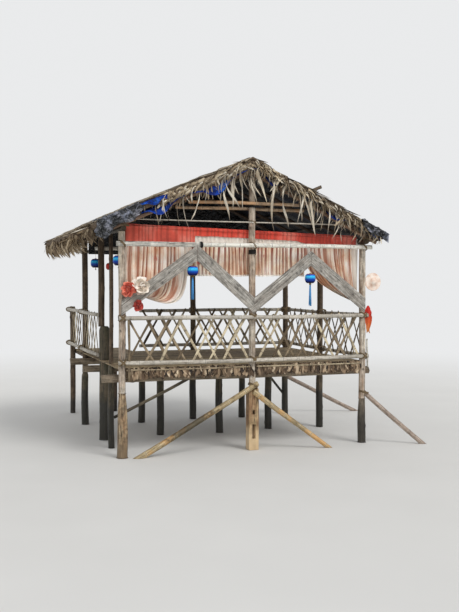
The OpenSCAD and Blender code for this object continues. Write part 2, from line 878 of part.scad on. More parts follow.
// Cream knot and orange flower that gather the left drape, and a red bunch below them
module curtain_rosettes() {
    color("#d9603c")
        on_boards() {
            rosette(x_left + 345, board_under_z + 480, rosette_d * 0.92, 95);
            rosette(x_left + 90, board_under_z + 440, rosette_d, 85);
            rosette(x_left + 265, board_under_z + 165, rosette_d * 0.8, 70);
        }
}

module ribbon() {
    color("#c8402e")
        translate([x_right + rail_past + fit, rail_y - 25, floor_z + 520])
            cube([8, 50, 530]);
}

front_left_stilt();
front_middle_stilt();
front_right_stilt();
inner_stilts();
front_braces();
outriggers();
under_braces();
floor_girders();
floor_joists();
floor_deck();
floor_edge_mat();
walkway();
front_left_post();
front_middle_post();
front_right_post();
side_posts();
rear_posts();
front_tie_beam();
tie_poles();
wall_plates();
front_rails();
side_rails();
rear_rails();
front_lattice_left();
front_lattice_right();
right_lattice();
rear_lattice();
left_lattice();
zigzag_boards();
ridge_pole();
rafters();
purlins();
collar_poles();
thatch_left();
thatch_right();
thatch_strip();
ridge_cap();
roof_tarp();
black_sheets();
curtain_rod();
curtain_panel();
side_drapes();
red_valance();
lanterns();
curtain_rosettes();
straw_hat();
ribbon();
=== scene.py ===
import math
import random
from functools import partial

import bmesh
import bpy
import numpy as np
from mathutils import Matrix, Vector, noise


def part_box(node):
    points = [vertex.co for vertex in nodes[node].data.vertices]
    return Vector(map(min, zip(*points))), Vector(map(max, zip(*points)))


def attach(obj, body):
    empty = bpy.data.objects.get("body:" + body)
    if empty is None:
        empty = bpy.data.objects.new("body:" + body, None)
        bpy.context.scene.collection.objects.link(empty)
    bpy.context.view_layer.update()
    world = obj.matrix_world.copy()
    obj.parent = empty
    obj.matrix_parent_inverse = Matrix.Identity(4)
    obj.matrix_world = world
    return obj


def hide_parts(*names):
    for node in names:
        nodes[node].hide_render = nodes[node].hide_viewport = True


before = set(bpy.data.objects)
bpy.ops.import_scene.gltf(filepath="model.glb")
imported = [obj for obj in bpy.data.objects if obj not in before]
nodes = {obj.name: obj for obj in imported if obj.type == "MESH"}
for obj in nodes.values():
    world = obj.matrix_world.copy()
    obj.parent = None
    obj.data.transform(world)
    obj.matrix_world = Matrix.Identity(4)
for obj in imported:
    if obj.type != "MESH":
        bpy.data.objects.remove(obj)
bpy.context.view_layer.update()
print("frame loaded:", len(nodes), "nodes")

# the hut in metres, as the source gives it
hut = {
    "left": -2.4, "right": 2.22, "front": -1.9, "rear": 1.9, "far": 3.8,
    "postRadius": 0.06, "floor": 1.55, "tie": 3.70, "apex": 4.985, "ridgeX": -0.104,
    "pitchLeft": 23.0, "pitchRight": 26.0, "slopeLeft": 2.891, "slopeRight": 2.842,
    "rakeFront": -2.2, "rakeRear": 2.2, "tarpAt": 0.1086, "swell": 0.042, "courses": 9,
    "stripWidth": 0.39, "stripFront": -1.34,
}


def rgb(code):
    parts = [int(code[i:i + 2], 16) / 255 for i in (1, 3, 5)]
    return tuple(c / 12.92 if c <= 0.04045 else ((c + 0.055) / 1.055) ** 2.4
                 for c in parts) + (1.0,)


# a socket is linked to the input, a hex colour turned to linear, a number written
def fill(node, inputs):
    for key, value in (inputs.items() if isinstance(inputs, dict) else enumerate(inputs)):
        if isinstance(value, bpy.types.NodeSocket):
            node.id_data.links.new(value, node.inputs[key])
        else:
            node.inputs[key].default_value = rgb(value) if isinstance(value, str) else value


# adds a node and gives its output; the stops of a ramp are hex colours or greys
def addNode(tree, kind, inputs=(), out=0, stops=(), **settings):
    node = tree.nodes.new("ShaderNode" + kind)
    for key, value in settings.items():
        setattr(node, key, value)
    fill(node, inputs)
    stops = list(stops)
    for k, (place, colour) in enumerate(stops[:1] + stops[1:][-1:] + stops[1:-1]):
        elements = node.color_ramp.elements
        stop = elements[k] if k < 2 else elements.new(place)
        stop.position = place
        stop.color = rgb(colour) if isinstance(colour, str) else (colour, colour, colour, 1.0)
    return node.outputs[out]


# settings of a Mix node that blends two colours, or multiplies one by the other
blend = {"out": 2, "data_type": "RGBA"}
multiply = {"out": 2, "data_type": "RGBA", "blend_type": "MULTIPLY"}


def newMaterial(name):
    material = bpy.data.materials.new(name)
    material.use_nodes = True
    tree = material.node_tree
    return material, partial(addNode, tree), tree.nodes["Principled BSDF"]


def toMesh(bm, move=None):
    mesh = bpy.data.meshes.new("part")
    if move is not None:
        bmesh.ops.transform(bm, matrix=move, verts=bm.verts)
    bm.to_mesh(mesh)
    bm.free()
    return mesh


# camera where the photograph was taken, turned to the hut with a longer lens
view = {"at": (-5.5, -16.69, 3.02), "heading": 18.9, "tilt": -1.49, "lens": 51.2}
camera = bpy.data.objects.new("camera", bpy.data.cameras.new("camera"))
camera.data.lens = view["lens"]
camera.data.sensor_width = 36.0
camera.data.clip_end = 300.0
camera.location = view["at"]
camera.rotation_euler = (math.radians(90 + view["tilt"]), 0, -math.radians(view["heading"]))
bpy.context.scene.collection.objects.link(camera)
bpy.context.scene.camera = camera

# a lamp: where it aims in degrees, its strength, and the angle its light spreads over
studio = {"backdrop": "#eff0f1", "glow": 0.95, "sky": "#f7faff",
          "fill": 0.62, "floor": 90.0, "fade": (7.0, 24.0),
          "lamps": {"key": ((-38, -22, 0), 1.35, 24), "side": ((-50, 48, 0), 0.5, 40)}}


def makeStudio():
    bm = bmesh.new()
    bmesh.ops.create_circle(bm, cap_ends=True, segments=64, radius=studio["floor"])
    floor = bpy.data.objects.new("studioFloor", toMesh(bm))
    floor.location.z = -0.002
    bpy.context.scene.collection.objects.link(floor)
    # matt painted floor, pale and even, faintly mottled
    material, add, shader = newMaterial("matt painted floor")
    place = add("TexCoord", out="Object")
    mottle = add("TexNoise", {"Vector": place, "Scale": 0.6})
    colour = add("Mix", {0: mottle, 6: "#dedcd7", 7: "#d6d4cf"}, **blend)
    fill(shader, {"Base Color": colour, "Roughness": 0.9})
    # far from the hut the floor passes into the backdrop without a line
    away = add("VectorMath", [place], "Value", operation="LENGTH")
    share = add("MapRange", [away, *studio["fade"]], interpolation_type="SMOOTHSTEP")
    glow = add("Emission", {"Color": studio["backdrop"], "Strength": studio["glow"]})
    mixed = add("MixShader", [share, shader.outputs[0], glow])
    fill(material.node_tree.nodes["Material Output"], {"Surface": mixed})
    floor.data.materials.append(material)

    world = bpy.data.worlds.new("studio")
    bpy.context.scene.world = world
    world.use_nodes = True
    add = partial(addNode, world.node_tree)
    rays = add("LightPath").node.outputs
    seen = add("Math", [rays["Is Camera Ray"], rays["Is Glossy Ray"]], operation="MAXIMUM")
    seen = add("Math", [seen, rays["Is Transmission Ray"]], operation="MAXIMUM")
    shown = add("Background", {"Color": studio["backdrop"], "Strength": studio["glow"]})
    lights = add("Background", {"Color": studio["sky"], "Strength": studio["fill"]})
    mixed = add("MixShader", [seen, lights, shown])
    fill(world.node_tree.nodes["World Output"], {"Surface": mixed})

    for name, (aim, strength, spread) in studio["lamps"].items():
        lamp = bpy.data.objects.new(name, bpy.data.lights.new(name, "SUN"))
        lamp.data.energy = strength
        lamp.data.angle = math.radians(spread)
        lamp.rotation_euler = [math.radians(-turn) for turn in aim]
        bpy.context.scene.collection.objects.link(lamp)


makeStudio()
bpy.context.scene.view_settings.view_transform = "Standard"
print("studio ready")


# materials of the wood: the fibre runs along z of the "grain" attribute, in metres
def woodMaterial(name, look):
    material, add, shader = newMaterial(name)
    grain = add("Attribute", out="Vector", attribute_name="grain")
    place = add("TexCoord", out="Object")

    def stretched(scale, detail=6.0, rough=0.6):
        moved = add("Mapping", {"Vector": grain, "Scale": scale})
        return add("TexNoise", {"Vector": moved, "Scale": 1.0, "Detail": detail,
                                "Roughness": rough})

    fibre = stretched((85, 85, 3.0))           # streaks 12 mm wide and 300 mm long
    fine = stretched((320, 320, 14), 4.0)      # fibres of 3 mm
    patch = stretched((9, 9, 1.6), 3.0)        # patches of a hand's width
    split = stretched((26, 26, 0.9), 3.0, 0.5)
    tone = add("ValToRGB", [fibre], stops=zip((0.28, 0.46, 0.68), look["tones"]))
    patches = add("ValToRGB", [patch], stops=[(0.38, 0), (0.66, 1)])
    stained = add("Mix", {0: 0.6, 6: tone, 7: look["stain"]}, **blend)
    colour = add("Mix", {0: patches, 6: tone, 7: stained}, **blend)
    spread = add("MapRange", [fine, 0.3, 0.7, 0.78, 1.14])
    # lichen and damp: lighter and darker blots of 30 to 120 mm
    blot = add("TexNoise", {"Vector": place, "Scale": 11.0, "Detail": 4.0, "Roughness": 0.6})
    uneven = add("MapRange", [blot, 0.36, 0.64, *look.get("uneven", (0.7, 1.22))])
    for shade in (spread, uneven):
        colour = add("Mix", {0: 1.0, 6: colour, 7: shade}, **multiply)
    # drying checks: thin dark lines where the slow noise passes its middle
    gap = add("Math", [split, 0.5], operation="SUBTRACT")
    gap = add("Math", [gap], operation="ABSOLUTE")
    check = add("MapRange", [gap, 0.0, look.get("check", 0.014), 1.0, 0.0])
    for mark in (check, add("Attribute", out="Fac", attribute_name="knot")):
        colour = add("Mix", {0: mark, 6: colour, 7: look["crack"]}, **blend)
    # wet foot with an uneven line above it
    ripple = add("TexNoise", {"Vector": place, "Scale": 7.0, "Detail": 4.0})
    level = add("Math", [ripple, -0.22, add("SeparateXYZ", [place], "Z")],
                operation="MULTIPLY_ADD")
    wet = add("MapRange", [level, look["wet"] - look.get("soft", 0.16), look["wet"] + 0.02,
                           1.0, 0.0])
    soaked = add("Mix", {0: 0.86, 6: colour, 7: look["foot"]}, **blend)
    colour = add("Mix", {0: wet, 6: colour, 7: soaked}, **blend)
    rough = add("MapRange", {0: wet, 3: look["rough"], 4: 0.42})
    relief = add("Math", [fine, 0.35, fibre], operation="MULTIPLY_ADD")
    relief = add("Math", [check, -0.9, relief], operation="MULTIPLY_ADD")
    bump = add("Bump", {"Height": relief, "Strength": 0.75, "Distance": look["relief"]})
    fill(shader, {"Base Color": colour, "Roughness": rough, "Normal": bump})
    return material


# mangrove log with the bark off, dried in the sun: silvery tan, long checks
peeledLog = woodMaterial("mangrove log peeled and sun dried", {
    "tones": ("#6a5e50", "#b8aa96", "#ece4d5"), "stain": "#98775e", "crack": "#2a211a",
    "foot": "#6b5a42", "wet": 0.16, "rough": 0.86, "relief": 0.006})
# log stained by iron water: reddish tan over grey
stainedLog = woodMaterial("mangrove log stained and weathered", {
    "tones": ("#514131", "#9c8566", "#e0ceac"), "stain": "#85603f", "crack": "#231910",
    "foot": "#77634a", "wet": 0.22, "rough": 0.84, "relief": 0.008, "check": 0.024,
    "uneven": (0.5, 1.36)})
# hewn house timber: flat, tan-brown, open grain and deep checks
hewnTimber = woodMaterial("ironwood timber hewn and weathered", {
    "tones": ("#67523c", "#a0865f", "#dcc59c"), "stain": "#8b5f45", "crack": "#241a12",
    "foot": "#dcc096", "wet": 0.34, "rough": 0.85, "relief": 0.008, "check": 0.02})
# stilt that stands wet: nearly black, its dark tones a painted shade, slightly shiny
wetShadedLog = woodMaterial("mangrove log wet and algae dark", {
    "tones": ("#261f17", "#4c4132", "#7d6e57"), "stain": "#3a3f25", "crack": "#0c0a08",
    "foot": "#17160f", "wet": 0.75, "rough": 0.62, "relief": 0.008})
# the right stilt: grey above, black below the flood line
tideLog = woodMaterial("mangrove log with a flood line", {
    "tones": ("#4f473b", "#857866", "#b3a792"), "stain": "#5d4f3d", "crack": "#1d1813",
    "foot": "#1d1a14", "wet": 0.74, "soft": 0.34, "rough": 0.8, "relief": 0.008})
# poles in shade: brown with grey fibres, their dark tones a painted shade
shadeLog = woodMaterial("round pole brown, darkened with painted shade", {
    "tones": ("#33291f", "#5b4b3a", "#85735c"), "stain": "#43362a", "crack": "#15110d",
    "foot": "#1b1711", "wet": 0.3, "rough": 0.82, "relief": 0.005})
# girder of round log, greyed where its ends stand out in the rain
girderLog = woodMaterial("round girder log greyed", {
    "tones": ("#4d4135", "#83745f", "#b8aa95"), "stain": "#5e4f3f", "crack": "#1d1712",
    "foot": "#1b1711", "wet": -1.0, "rough": 0.85, "relief": 0.006})
# sawn board left to the weather: silver grey, raised grain
silverBoard = woodMaterial("teak board sawn and silvered", {
    "tones": ("#5f5a54", "#9f9a91", "#d8d4ca"), "stain": "#80756a", "crack": "#332e29",
    "foot": "#4c463e", "wet": -1.0, "rough": 0.88, "relief": 0.005, "check": 0.011})
# the squared tie: hewn long ago, bleached almost white on its upper edge
bleachedTie = woodMaterial("squared tie hewn and bleached", {
    "tones": ("#8d8980", "#c3c0b6", "#e9e7de"), "stain": "#a69d90", "crack": "#38332d",
    "foot": "#4c463e", "wet": -1.0, "rough": 0.88, "relief": 0.006, "check": 0.016})


# aged bamboo: waxy tan skin gone grey, dark ring and pale bloom at each joint
def bambooMaterial(name, look):
    material, add, shader = newMaterial(name)
    grain = add("Attribute", out="Vector", attribute_name="grain")
    culm = add("Attribute", out="Fac", attribute_name="culm")
    place = add("TexCoord", out="Object")
    moved = add("Mapping", {"Vector": grain, "Scale": (150, 150, 4)})
    fibre = add("TexNoise", {"Vector": moved, "Scale": 1.0, "Detail": 5.0})
    mould = add("TexNoise", {"Vector": grain, "Scale": 14.0, "Detail": 8.0, "Roughness": 0.7})
    slow = add("TexNoise", {"Vector": place, "Scale": 1.1 * look.get("reach", 1.0),
                            "Detail": 2.0})
    tone = add("ValToRGB", [fibre], stops=zip((0.3, 0.5, 0.7), look["tones"]))
    spots = add("ValToRGB", [mould], stops=[(0.5, 0), (0.68, 0.75)])
    colour = add("Mix", {0: spots, 6: tone, 7: look["mould"]}, **blend)
    shift = add("MapRange", [slow, 0.35, 0.65, 0.74, 1.12])
    colour = add("Mix", {0: 1.0, 6: colour, 7: shift}, **multiply)
    # warm patches on some, then the bloom under each joint and the ring on it
    part = add("Math", [culm, 1.0], operation="PINGPONG")
    for key, reach in (("flush", [slow, 0.5, 0.6, 0.0, 0.6]),
                       ("bloom", [part, 0.03, 0.13, 0.45, 0.0]),
                       ("ring", [part, 0.012, 0.035, 1.0, 0.0])):
        if key in look:
            share = add("MapRange", reach)
            colour = add("Mix", {0: share, 6: colour, 7: look[key]}, **blend)
    # moss round one place along the hut; painted shade darkens what lies deep under the roof
    if "moss" in look:
        middle, reach = look["moss"]
        away = add("Math", [add("SeparateXYZ", [place]), middle], operation="SUBTRACT")
        away = add("Math", [away], operation="ABSOLUTE")
        away = add("Math", [mould, -0.9, away], operation="MULTIPLY_ADD")
        moss = add("MapRange", [away, reach - 0.62, reach - 0.34, 0.85, 0.0])
        colour = add("Mix", {0: moss, 6: colour, 7: "#332e20"}, **blend)
    if "shadeInside" in look:
        deep = add("SeparateXYZ", [place], "Y")
        underRoofShade = add("MapRange", [deep, -1.78, -1.6, 1.0, look["shadeInside"]])
        colour = add("Mix", {0: 1.0, 6: colour, 7: underRoofShade}, **multiply)
    rough = add("MapRange", {0: mould, 3: 0.42, 4: 0.8})
    bump = add("Bump", {"Height": fibre, "Strength": 0.5, "Distance": 0.0025})
    fill(shader, {"Base Color": colour, "Roughness": rough, "Normal": bump})
    return material


# wax worn off, a pale warm grey
greyBamboo = bambooMaterial("bamboo culm weathered grey", {
    "tones": ("#857a69", "#bdb5a6", "#e2dcd0"), "mould": "#574e41", "bloom": "#d9d3c6",
    "ring": "#453b30"})
# bleached almost white by sun and rain
paleBamboo = bambooMaterial("bamboo culm bleached pale", {
    "tones": ("#b3ad9d", "#e3dfd2", "#f7f5ec"), "mould": "#827b6c", "bloom": "#f7f5ee",
    "ring": "#5a5042"})
# warm tan with honey patches and one mossy stretch
tanBamboo = bambooMaterial("bamboo culm dried tan", {
    "tones": ("#68563a", "#b09970", "#ead7ac"), "mould": "#45402a", "bloom": "#e6d8b6",
    "ring": "#3b2e20", "flush": "#c9924c", "reach": 2.6, "moss": (-1.22, 0.42)})
# brown from the river, paler at its joints
brownBamboo = bambooMaterial("bamboo culm river brown", {
    "tones": ("#6b5a4b", "#a49080", "#d6c6b5"), "mould": "#493d32", "bloom": "#cbbcab",
    "ring": "#382c23"})
# reddish, and darker deep under the roof as painted shade
rafterBamboo = bambooMaterial("bamboo culm reddened under thatch", {
    "tones": ("#4f3b2c", "#866852", "#b3957a"), "mould": "#3d3026", "bloom": "#a48c74",
    "ring": "#2c2119", "shadeInside": 0.3})
# tan with warm patches, darker deep under the roof as painted shade
collarBamboo = bambooMaterial("bamboo culm tan, with painted shade deep under the roof", {
    "tones": ("#6a5340", "#a98f73", "#dcc4a3"), "mould": "#4a3b2d", "bloom": "#d2bb9a",
    "ring": "#2f2419", "flush": "#b98552", "reach": 1.6, "shadeInside": 0.3})
# nearly black under the thatch as painted shade, darker still deep under the roof
roofBamboo = bambooMaterial("bamboo culm nearly black with painted shade under thatch", {
    "tones": ("#2d241a", "#4b3e2c", "#6c5c41"), "mould": "#251e16", "bloom": "#685b45",
    "ring": "#1c1610", "shadeInside": 0.6})
print("wood ready")


def finishPiece(name, source, material, node=None):
    mesh = bpy.data.meshes.new(name)
    source.to_mesh(mesh)
    source.free()
    piece = bpy.data.objects.new(name, mesh)
    bpy.context.scene.collection.objects.link(piece)
    for one in (material if isinstance(material, list) else [material]):
        mesh.materials.append(one)
    mesh.polygons.foreach_set("use_smooth", [True] * len(mesh.polygons))
    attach(piece, "root")
    if node:
        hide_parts(node)
    return piece


def collect(meshes):
    whole = bmesh.new()
    for mesh in meshes:
        whole.from_mesh(mesh)
        bpy.data.meshes.remove(mesh)
    return whole


def refine(bm, limit):
    for _ in range(7):
        long = [e for e in bm.edges if e.calc_length() > limit]
        if not long:
            break
        bmesh.ops.subdivide_edges(bm, edges=long, cuts=1, use_grid_fill=True)


def cadCopy(name, grid=None, dissolve=True):
    bm = bmesh.new()
    bm.from_mesh(nodes[name].data)
    bmesh.ops.remove_doubles(bm, verts=bm.verts, dist=0.00002)
    if dissolve:
        bmesh.ops.dissolve_limit(bm, angle_limit=0.02, verts=bm.verts, edges=bm.edges)
    if grid:
        refine(bm, grid)
    return bm


# the vertices of each separate solid of a bmesh
def islands(bm):
    seen, groups = set(), []
    for start in bm.verts:
        if start in seen:
            continue
        group, queue = [], [start]
        seen.add(start)
        while queue:
            vert = queue.pop()
            group.append(vert)
            for edge in vert.link_edges:
                other = edge.other_vert(vert)
                if other not in seen:
                    seen.add(other)
                    queue.append(other)
        groups.append(group)
    return groups


def solidsOf(name):
    bm = cadCopy(name, dissolve=False)
    solids = [np.array([vert.co.copy() for vert in group]) for group in islands(bm)]
    bm.free()
    return solids


# the two ends and radii of a round pole, read from its solid
def poleLine(points):
    centre = points.mean(0)
    axis = np.linalg.svd(points - centre, full_matrices=False)[2][0]
    along = (points - centre) @ axis
    low, high = points[along < 0].mean(0), points[along >= 0].mean(0)
    axis = (high - low) / np.linalg.norm(high - low)
    along = (points - low) @ axis
    off = np.linalg.norm(points - low - np.outer(along, axis), axis=1)
    middle = (along.min() + along.max()) / 2
    ends = [Vector(low + axis * along.min()), Vector(low + axis * along.max())]
    radii = [float(off[along < middle].max()), float(off[along >= middle].max())]
    return ends, radii


# a far place in the noise, so that no two pieces look alike
def farPlace(rng):
    return Vector([rng.uniform(-9, 9) for _ in range(3)])


# one log or culm as grown: it bends a little, swells at knots or joints
def grownPole(ends, radii, look, seed):
    rng = random.Random(seed)
    start, stop = ends
    length = (stop - start).length
    rings = max(8, int(length / look.get("ring", 0.05)))
    bm = bmesh.new()
    bmesh.ops.create_cone(bm, cap_ends=True, segments=look.get("sides", 18), radius1=1.0,
                          radius2=1.0, depth=1.0)
    upright = [e for e in bm.edges if abs(e.verts[0].co.z - e.verts[1].co.z) > 0.5]
    bmesh.ops.subdivide_edges(bm, edges=upright, cuts=rings, use_grid_fill=True)
    grain = bm.verts.layers.float_vector.new("grain")
    knotLayer = bm.verts.layers.float.new("knot")
    culm = bm.verts.layers.float.new("culm")
    turn = (stop - start).to_track_quat("Z", "Y").to_matrix()
    shift = farPlace(rng)
    bend = look.get("bend", 0.004) * length
    phase, side = rng.uniform(0, 6.28), rng.uniform(0, 6.28)
    # joints 24 to 36 cm apart; a knot has its place, angle and size
    joints, at = [-0.2], rng.uniform(0.02, 0.25)
    while at < length + 0.4:
        joints.append(at)
        at += rng.uniform(0.24, 0.36)
    knots = [(rng.uniform(0.08, 0.92) * length, rng.uniform(0, 6.28), rng.uniform(0.02, 0.038))
             for _ in range(int(length * look.get("knots", 0)))] + look.get("placed", [])
    for vert in bm.verts:
        t = vert.co.z + 0.5
        angle = math.atan2(vert.co.y, vert.co.x)
        reach = math.hypot(vert.co.x, vert.co.y)
        along = t * length
        radius = radii[0] + (radii[1] - radii[0]) * t
        out = Vector((math.cos(angle), math.sin(angle), 0))
        lumps = noise.noise(Vector((out.x * 1.3, out.y * 1.3, along * 1.4)) + shift)
        ridges = noise.noise(Vector((out.x * 4, out.y * 4, along * 0.9)) + shift * 2)
        swell = look.get("slim", 1.0) + look.get("lumps", 0.03) * lumps \
            + look.get("ridges", 0.0) * ridges
        if "shoulder" in look:
            under = along if start.z > stop.z else length - along
            swell *= 1 - look["neck"] * math.exp(-(under / look["shoulder"]) ** 1.5)
        mark = 0.0
        for knotAt, knotAngle, size in knots:
            apart = math.hypot(along - knotAt,
                               radius * math.sin((angle - knotAngle) / 2) * 2)
            swell += 0.16 * math.exp(-(apart / size) ** 2)
            mark = max(mark, math.exp(-(apart / (size * 0.62)) ** 2))
        for k in range(len(joints) - 1):
            if joints[k] <= along + 1e-6 < joints[k + 1] or k == len(joints) - 2:
                vert[culm] = 2 * (k + (along - joints[k]) / (joints[k + 1] - joints[k]))
                gap = min(abs(along - joints[k]), abs(along - joints[k + 1]))
                swell += look.get("joint", 0.0) * math.exp(-(gap / 0.018) ** 2)
                break
        vert[knotLayer] = mark
        vert[grain] = Vector((out.x * radius, out.y * radius, along)) + shift
        sway = bend * math.sin(math.pi * t)
        sway2 = bend * 0.5 * math.sin(2 * math.pi * t + phase) * math.sin(math.pi * t)
        local = Vector((out.x * radius * swell * reach
                        + sway * math.cos(side) + sway2 * math.sin(side),
                        out.y * radius * swell * reach
                        + sway * math.sin(side) - sway2 * math.cos(side), along))
        vert.co = start + turn @ local
    caps = [f for f in bm.faces if len(f.verts) > 4 and look.get("cap", True)]
    bmesh.ops.inset_individual(bm, faces=caps, thickness=min(radii) * 0.14,
                               depth=min(radii) * 0.05)
    # a foot is cut level where it meets the floor
    if min(start.z, stop.z) < 0.05:
        cut = bmesh.ops.bisect_plane(bm, geom=bm.verts[:] + bm.edges[:] + bm.faces[:],
                                     plane_co=(0, 0, 0), plane_no=(0, 0, 1), clear_inner=True)
        rim = [e for e in cut["geom_cut"] if isinstance(e, bmesh.types.BMEdge)]
        if rim:
            bmesh.ops.edgeloop_fill(bm, edges=rim)
    return toMesh(bm)


# every round pole of the frame, grown along the line of its own solid
frontPost = {"bend": 0.003, "lumps": 0.05, "ridges": 0.05, "knots": 2, "sides": 24,
             "ring": 0.035}
shadePost = {"bend": 0.003, "lumps": 0.05, "ridges": 0.04, "knots": 2}
sideRail = {"bend": 0.0035, "lumps": 0.08, "joint": 0.07}
poles = {
    "front_left_stilt": (stainedLog, {
        "bend": 0.010, "lumps": 0.07, "ridges": 0.05, "knots": 2, "slim": 0.87, "sides": 28,
        "ring": 0.03, "shoulder": 0.24, "neck": 0.26,
        "placed": [(0.36, -1.35, 0.038), (0.62, -2.3, 0.030), (0.83, -1.7, 0.030),
                   (0.98, -1.1, 0.022)]}),
    "front_right_stilt": (tideLog, {
        "bend": 0.008, "lumps": 0.06, "ridges": 0.04, "knots": 3, "shoulder": 0.2,
        "neck": 0.2, "sides": 24, "ring": 0.03}),
    "inner_stilts": (wetShadedLog, {"bend": 0.008, "lumps": 0.1, "ridges": 0.07, "knots": 3,
                              "shoulder": 0.035, "neck": 0.3, "ring": 0.035}),
    "front_braces": (tanBamboo, {"bend": 0.006, "lumps": 0.03, "joint": 0.07}),
    "outriggers": (brownBamboo, {"bend": 0.006, "lumps": 0.04, "knots": 1.5, "joint": 0.05}),
    "under_braces": (wetShadedLog, {"bend": 0.008, "lumps": 0.06, "knots": 1}),
    "floor_girders": (girderLog, {"bend": 0.001, "lumps": 0.05, "ridges": 0.04, "knots": 1}),
    "floor_joists": (shadeLog, {"bend": 0.001, "lumps": 0.05, "knots": 0.6}),
    "front_left_post": (peeledLog, frontPost),
    "front_middle_post": (peeledLog, frontPost),
    "front_right_post": (peeledLog, frontPost),
    "side_posts": (shadeLog, shadePost),
    "rear_posts": (shadeLog, shadePost),
    "tie_poles": (paleBamboo, {"bend": 0.002, "lumps": 0.03, "joint": 0.08}),
    "wall_plates": (roofBamboo, {"bend": 0.002, "lumps": 0.04, "joint": 0.06}),
    "front_rails": (greyBamboo, {"bend": 0.0035, "lumps": 0.10, "ridges": 0.04, "joint": 0.07,
                                 "sides": 20, "ring": 0.03}),
    "side_rails": (greyBamboo, sideRail),
    "rear_rails": (greyBamboo, sideRail),
    "ridge_pole": (roofBamboo, {"bend": 0.001, "lumps": 0.04, "joint": 0.06}),
    "rafters": (rafterBamboo, {"bend": 0.002, "lumps": 0.04, "joint": 0.07, "sides": 14}),
    "purlins": (roofBamboo, {"bend": 0.001, "lumps": 0.04, "joint": 0.08, "sides": 10}),
    "collar_poles": (collarBamboo, {"bend": 0.006, "lumps": 0.06, "joint": 0.09}),
    "curtain_rod": (roofBamboo, {"bend": 0.002, "lumps": 0.05, "joint": 0.1, "sides": 10}),
}
poleLines = {}


def growPoles():
    for number, (name, (material, look)) in enumerate(poles.items()):
        poleLines[name] = [poleLine(points) for points in solidsOf(name)]
        meshes = [grownPole(ends, radii, look, number * 40 + part)
                  for part, (ends, radii) in enumerate(poleLines[name])]
        finishPiece(name + "Grown", collect(meshes), material, name)


growPoles()
print("poles grown")


# sawn or hewn wood: the solid's own shape with worn edges, cupped and rough
def wornWood(name, material, look):
    source = cadCopy(name)
    grain = source.verts.layers.float_vector.new("grain")
    knotLayer = source.verts.layers.float.new("knot")
    frames = []
    for group in islands(source):
        points = np.array([v.co[:] for v in sorted(group, key=lambda v: v.index)])
        centre = points.mean(0)
        axes = np.linalg.svd(points - centre, full_matrices=False)[2]
        frames.append((Vector(centre), [Vector(a) for a in axes]))
    bmesh.ops.bevel(source, geom=[e for e in source.edges if e.is_manifold and
                                  e.calc_face_angle() > 0.5], offset=look["edge"],
                    affect="EDGES", segments=2, profile=0.5, material=-1)
    refine(source, look["grid"])
    source.normal_update()
    rng = random.Random(look["seed"])
    shifts = [farPlace(rng) for _ in frames]
    knots = [[(rng.uniform(-0.5, 0.5), rng.uniform(-0.08, 0.08), rng.uniform(0.012, 0.022))
              for _ in range(look["knots"])] for _ in frames]
    moves = []
    for vert in source.verts:
        best = min(range(len(frames)), key=lambda k: sum(
            (abs((vert.co - frames[k][0]).dot(frames[k][1][n])) * (1, 6, 12)[n]
             for n in range(3))))
        centre, axes = frames[best]
        along, across, deep = ((vert.co - centre).dot(axis) for axis in axes)
        vert[grain] = Vector((across, deep, along)) + shifts[best]
        vert[knotLayer] = max(math.exp(-(math.hypot(along - at, across - side) / size) ** 2)
                              for at, side, size in knots[best])
        rough = noise.noise(Vector((across * 40, deep * 40, along * 3)) + shifts[best])
        slow = noise.noise(Vector((across * 6, deep * 6, along * 1.5)) - shifts[best])
        moves.append(vert.normal * (look["rough"] * rough + look["slow"] * slow))
    for vert, move in zip(source.verts, moves):
        vert.co += move
    piece = finishPiece(name + "Worn", source, material, name)
    piece.data.set_sharp_from_angle(angle=math.radians(48))


wornWood("front_middle_stilt", hewnTimber,
         {"edge": 0.007, "grid": 0.035, "rough": 0.0035, "slow": 0.006, "seed": 3, "knots": 2})
wornWood("front_tie_beam", bleachedTie,
         {"edge": 0.004, "grid": 0.03, "rough": 0.002, "slow": 0.003, "seed": 4, "knots": 2})
wornWood("zigzag_boards", silverBoard,
         {"edge": 0.003, "grid": 0.03, "rough": 0.002, "slow": 0.003, "seed": 9, "knots": 3})
print("boards worn")


# one split slat: a pole pressed flat, a little wavy, with one tone for the whole slat
def flatSlat(start, stop, width, thick, normal, seed, bend=0.004, ring=0.09):
    start, stop, face = Vector(start), Vector(stop), Vector(normal)
    mesh = grownPole([start, stop], [1.0, 1.0],
                     {"bend": 0.0, "lumps": 0.0, "sides": 8, "ring": ring, "cap": False}, seed)
    rng = random.Random(seed)
    along = (stop - start).normalized()
    across = along.cross(face).normalized()
    phase, sway = rng.uniform(0, 6.28), rng.uniform(-bend, bend)
    length = (stop - start).length
    for vert in mesh.vertices:
        apart = vert.co - start
        t = min(max(apart.dot(along), 0.0), length)
        side, up = apart.dot(across), apart.dot(face)
        size = math.hypot(side, up)
        if size > 1e-6:
            side, up = side / max(1.0, size), up / max(1.0, size)
        wide = width * (1 + 0.12 * math.sin(t * 9 + phase))
        drift = sway * math.sin(math.pi * t / length) + 0.0015 * math.sin(t * 7 + phase)
        vert.co = (start + along * t + across * (side * wide / 2 + drift)
                   + face * (up * thick / 2 + 0.3 * drift))
    place = rng.uniform(-9, 9), rng.uniform(-9, 9)
    for vert, value in zip(mesh.vertices, mesh.attributes["grain"].data):
        apart = vert.co - start
        value.vector = (place[0] + apart.dot(across), place[1] + apart.dot(face),
                        apart.dot(along) + place[0])
    shade = rng.uniform(0, 1)
    mesh.attributes["knot"].data.foreach_set("value", [shade] * len(mesh.vertices))
    return mesh


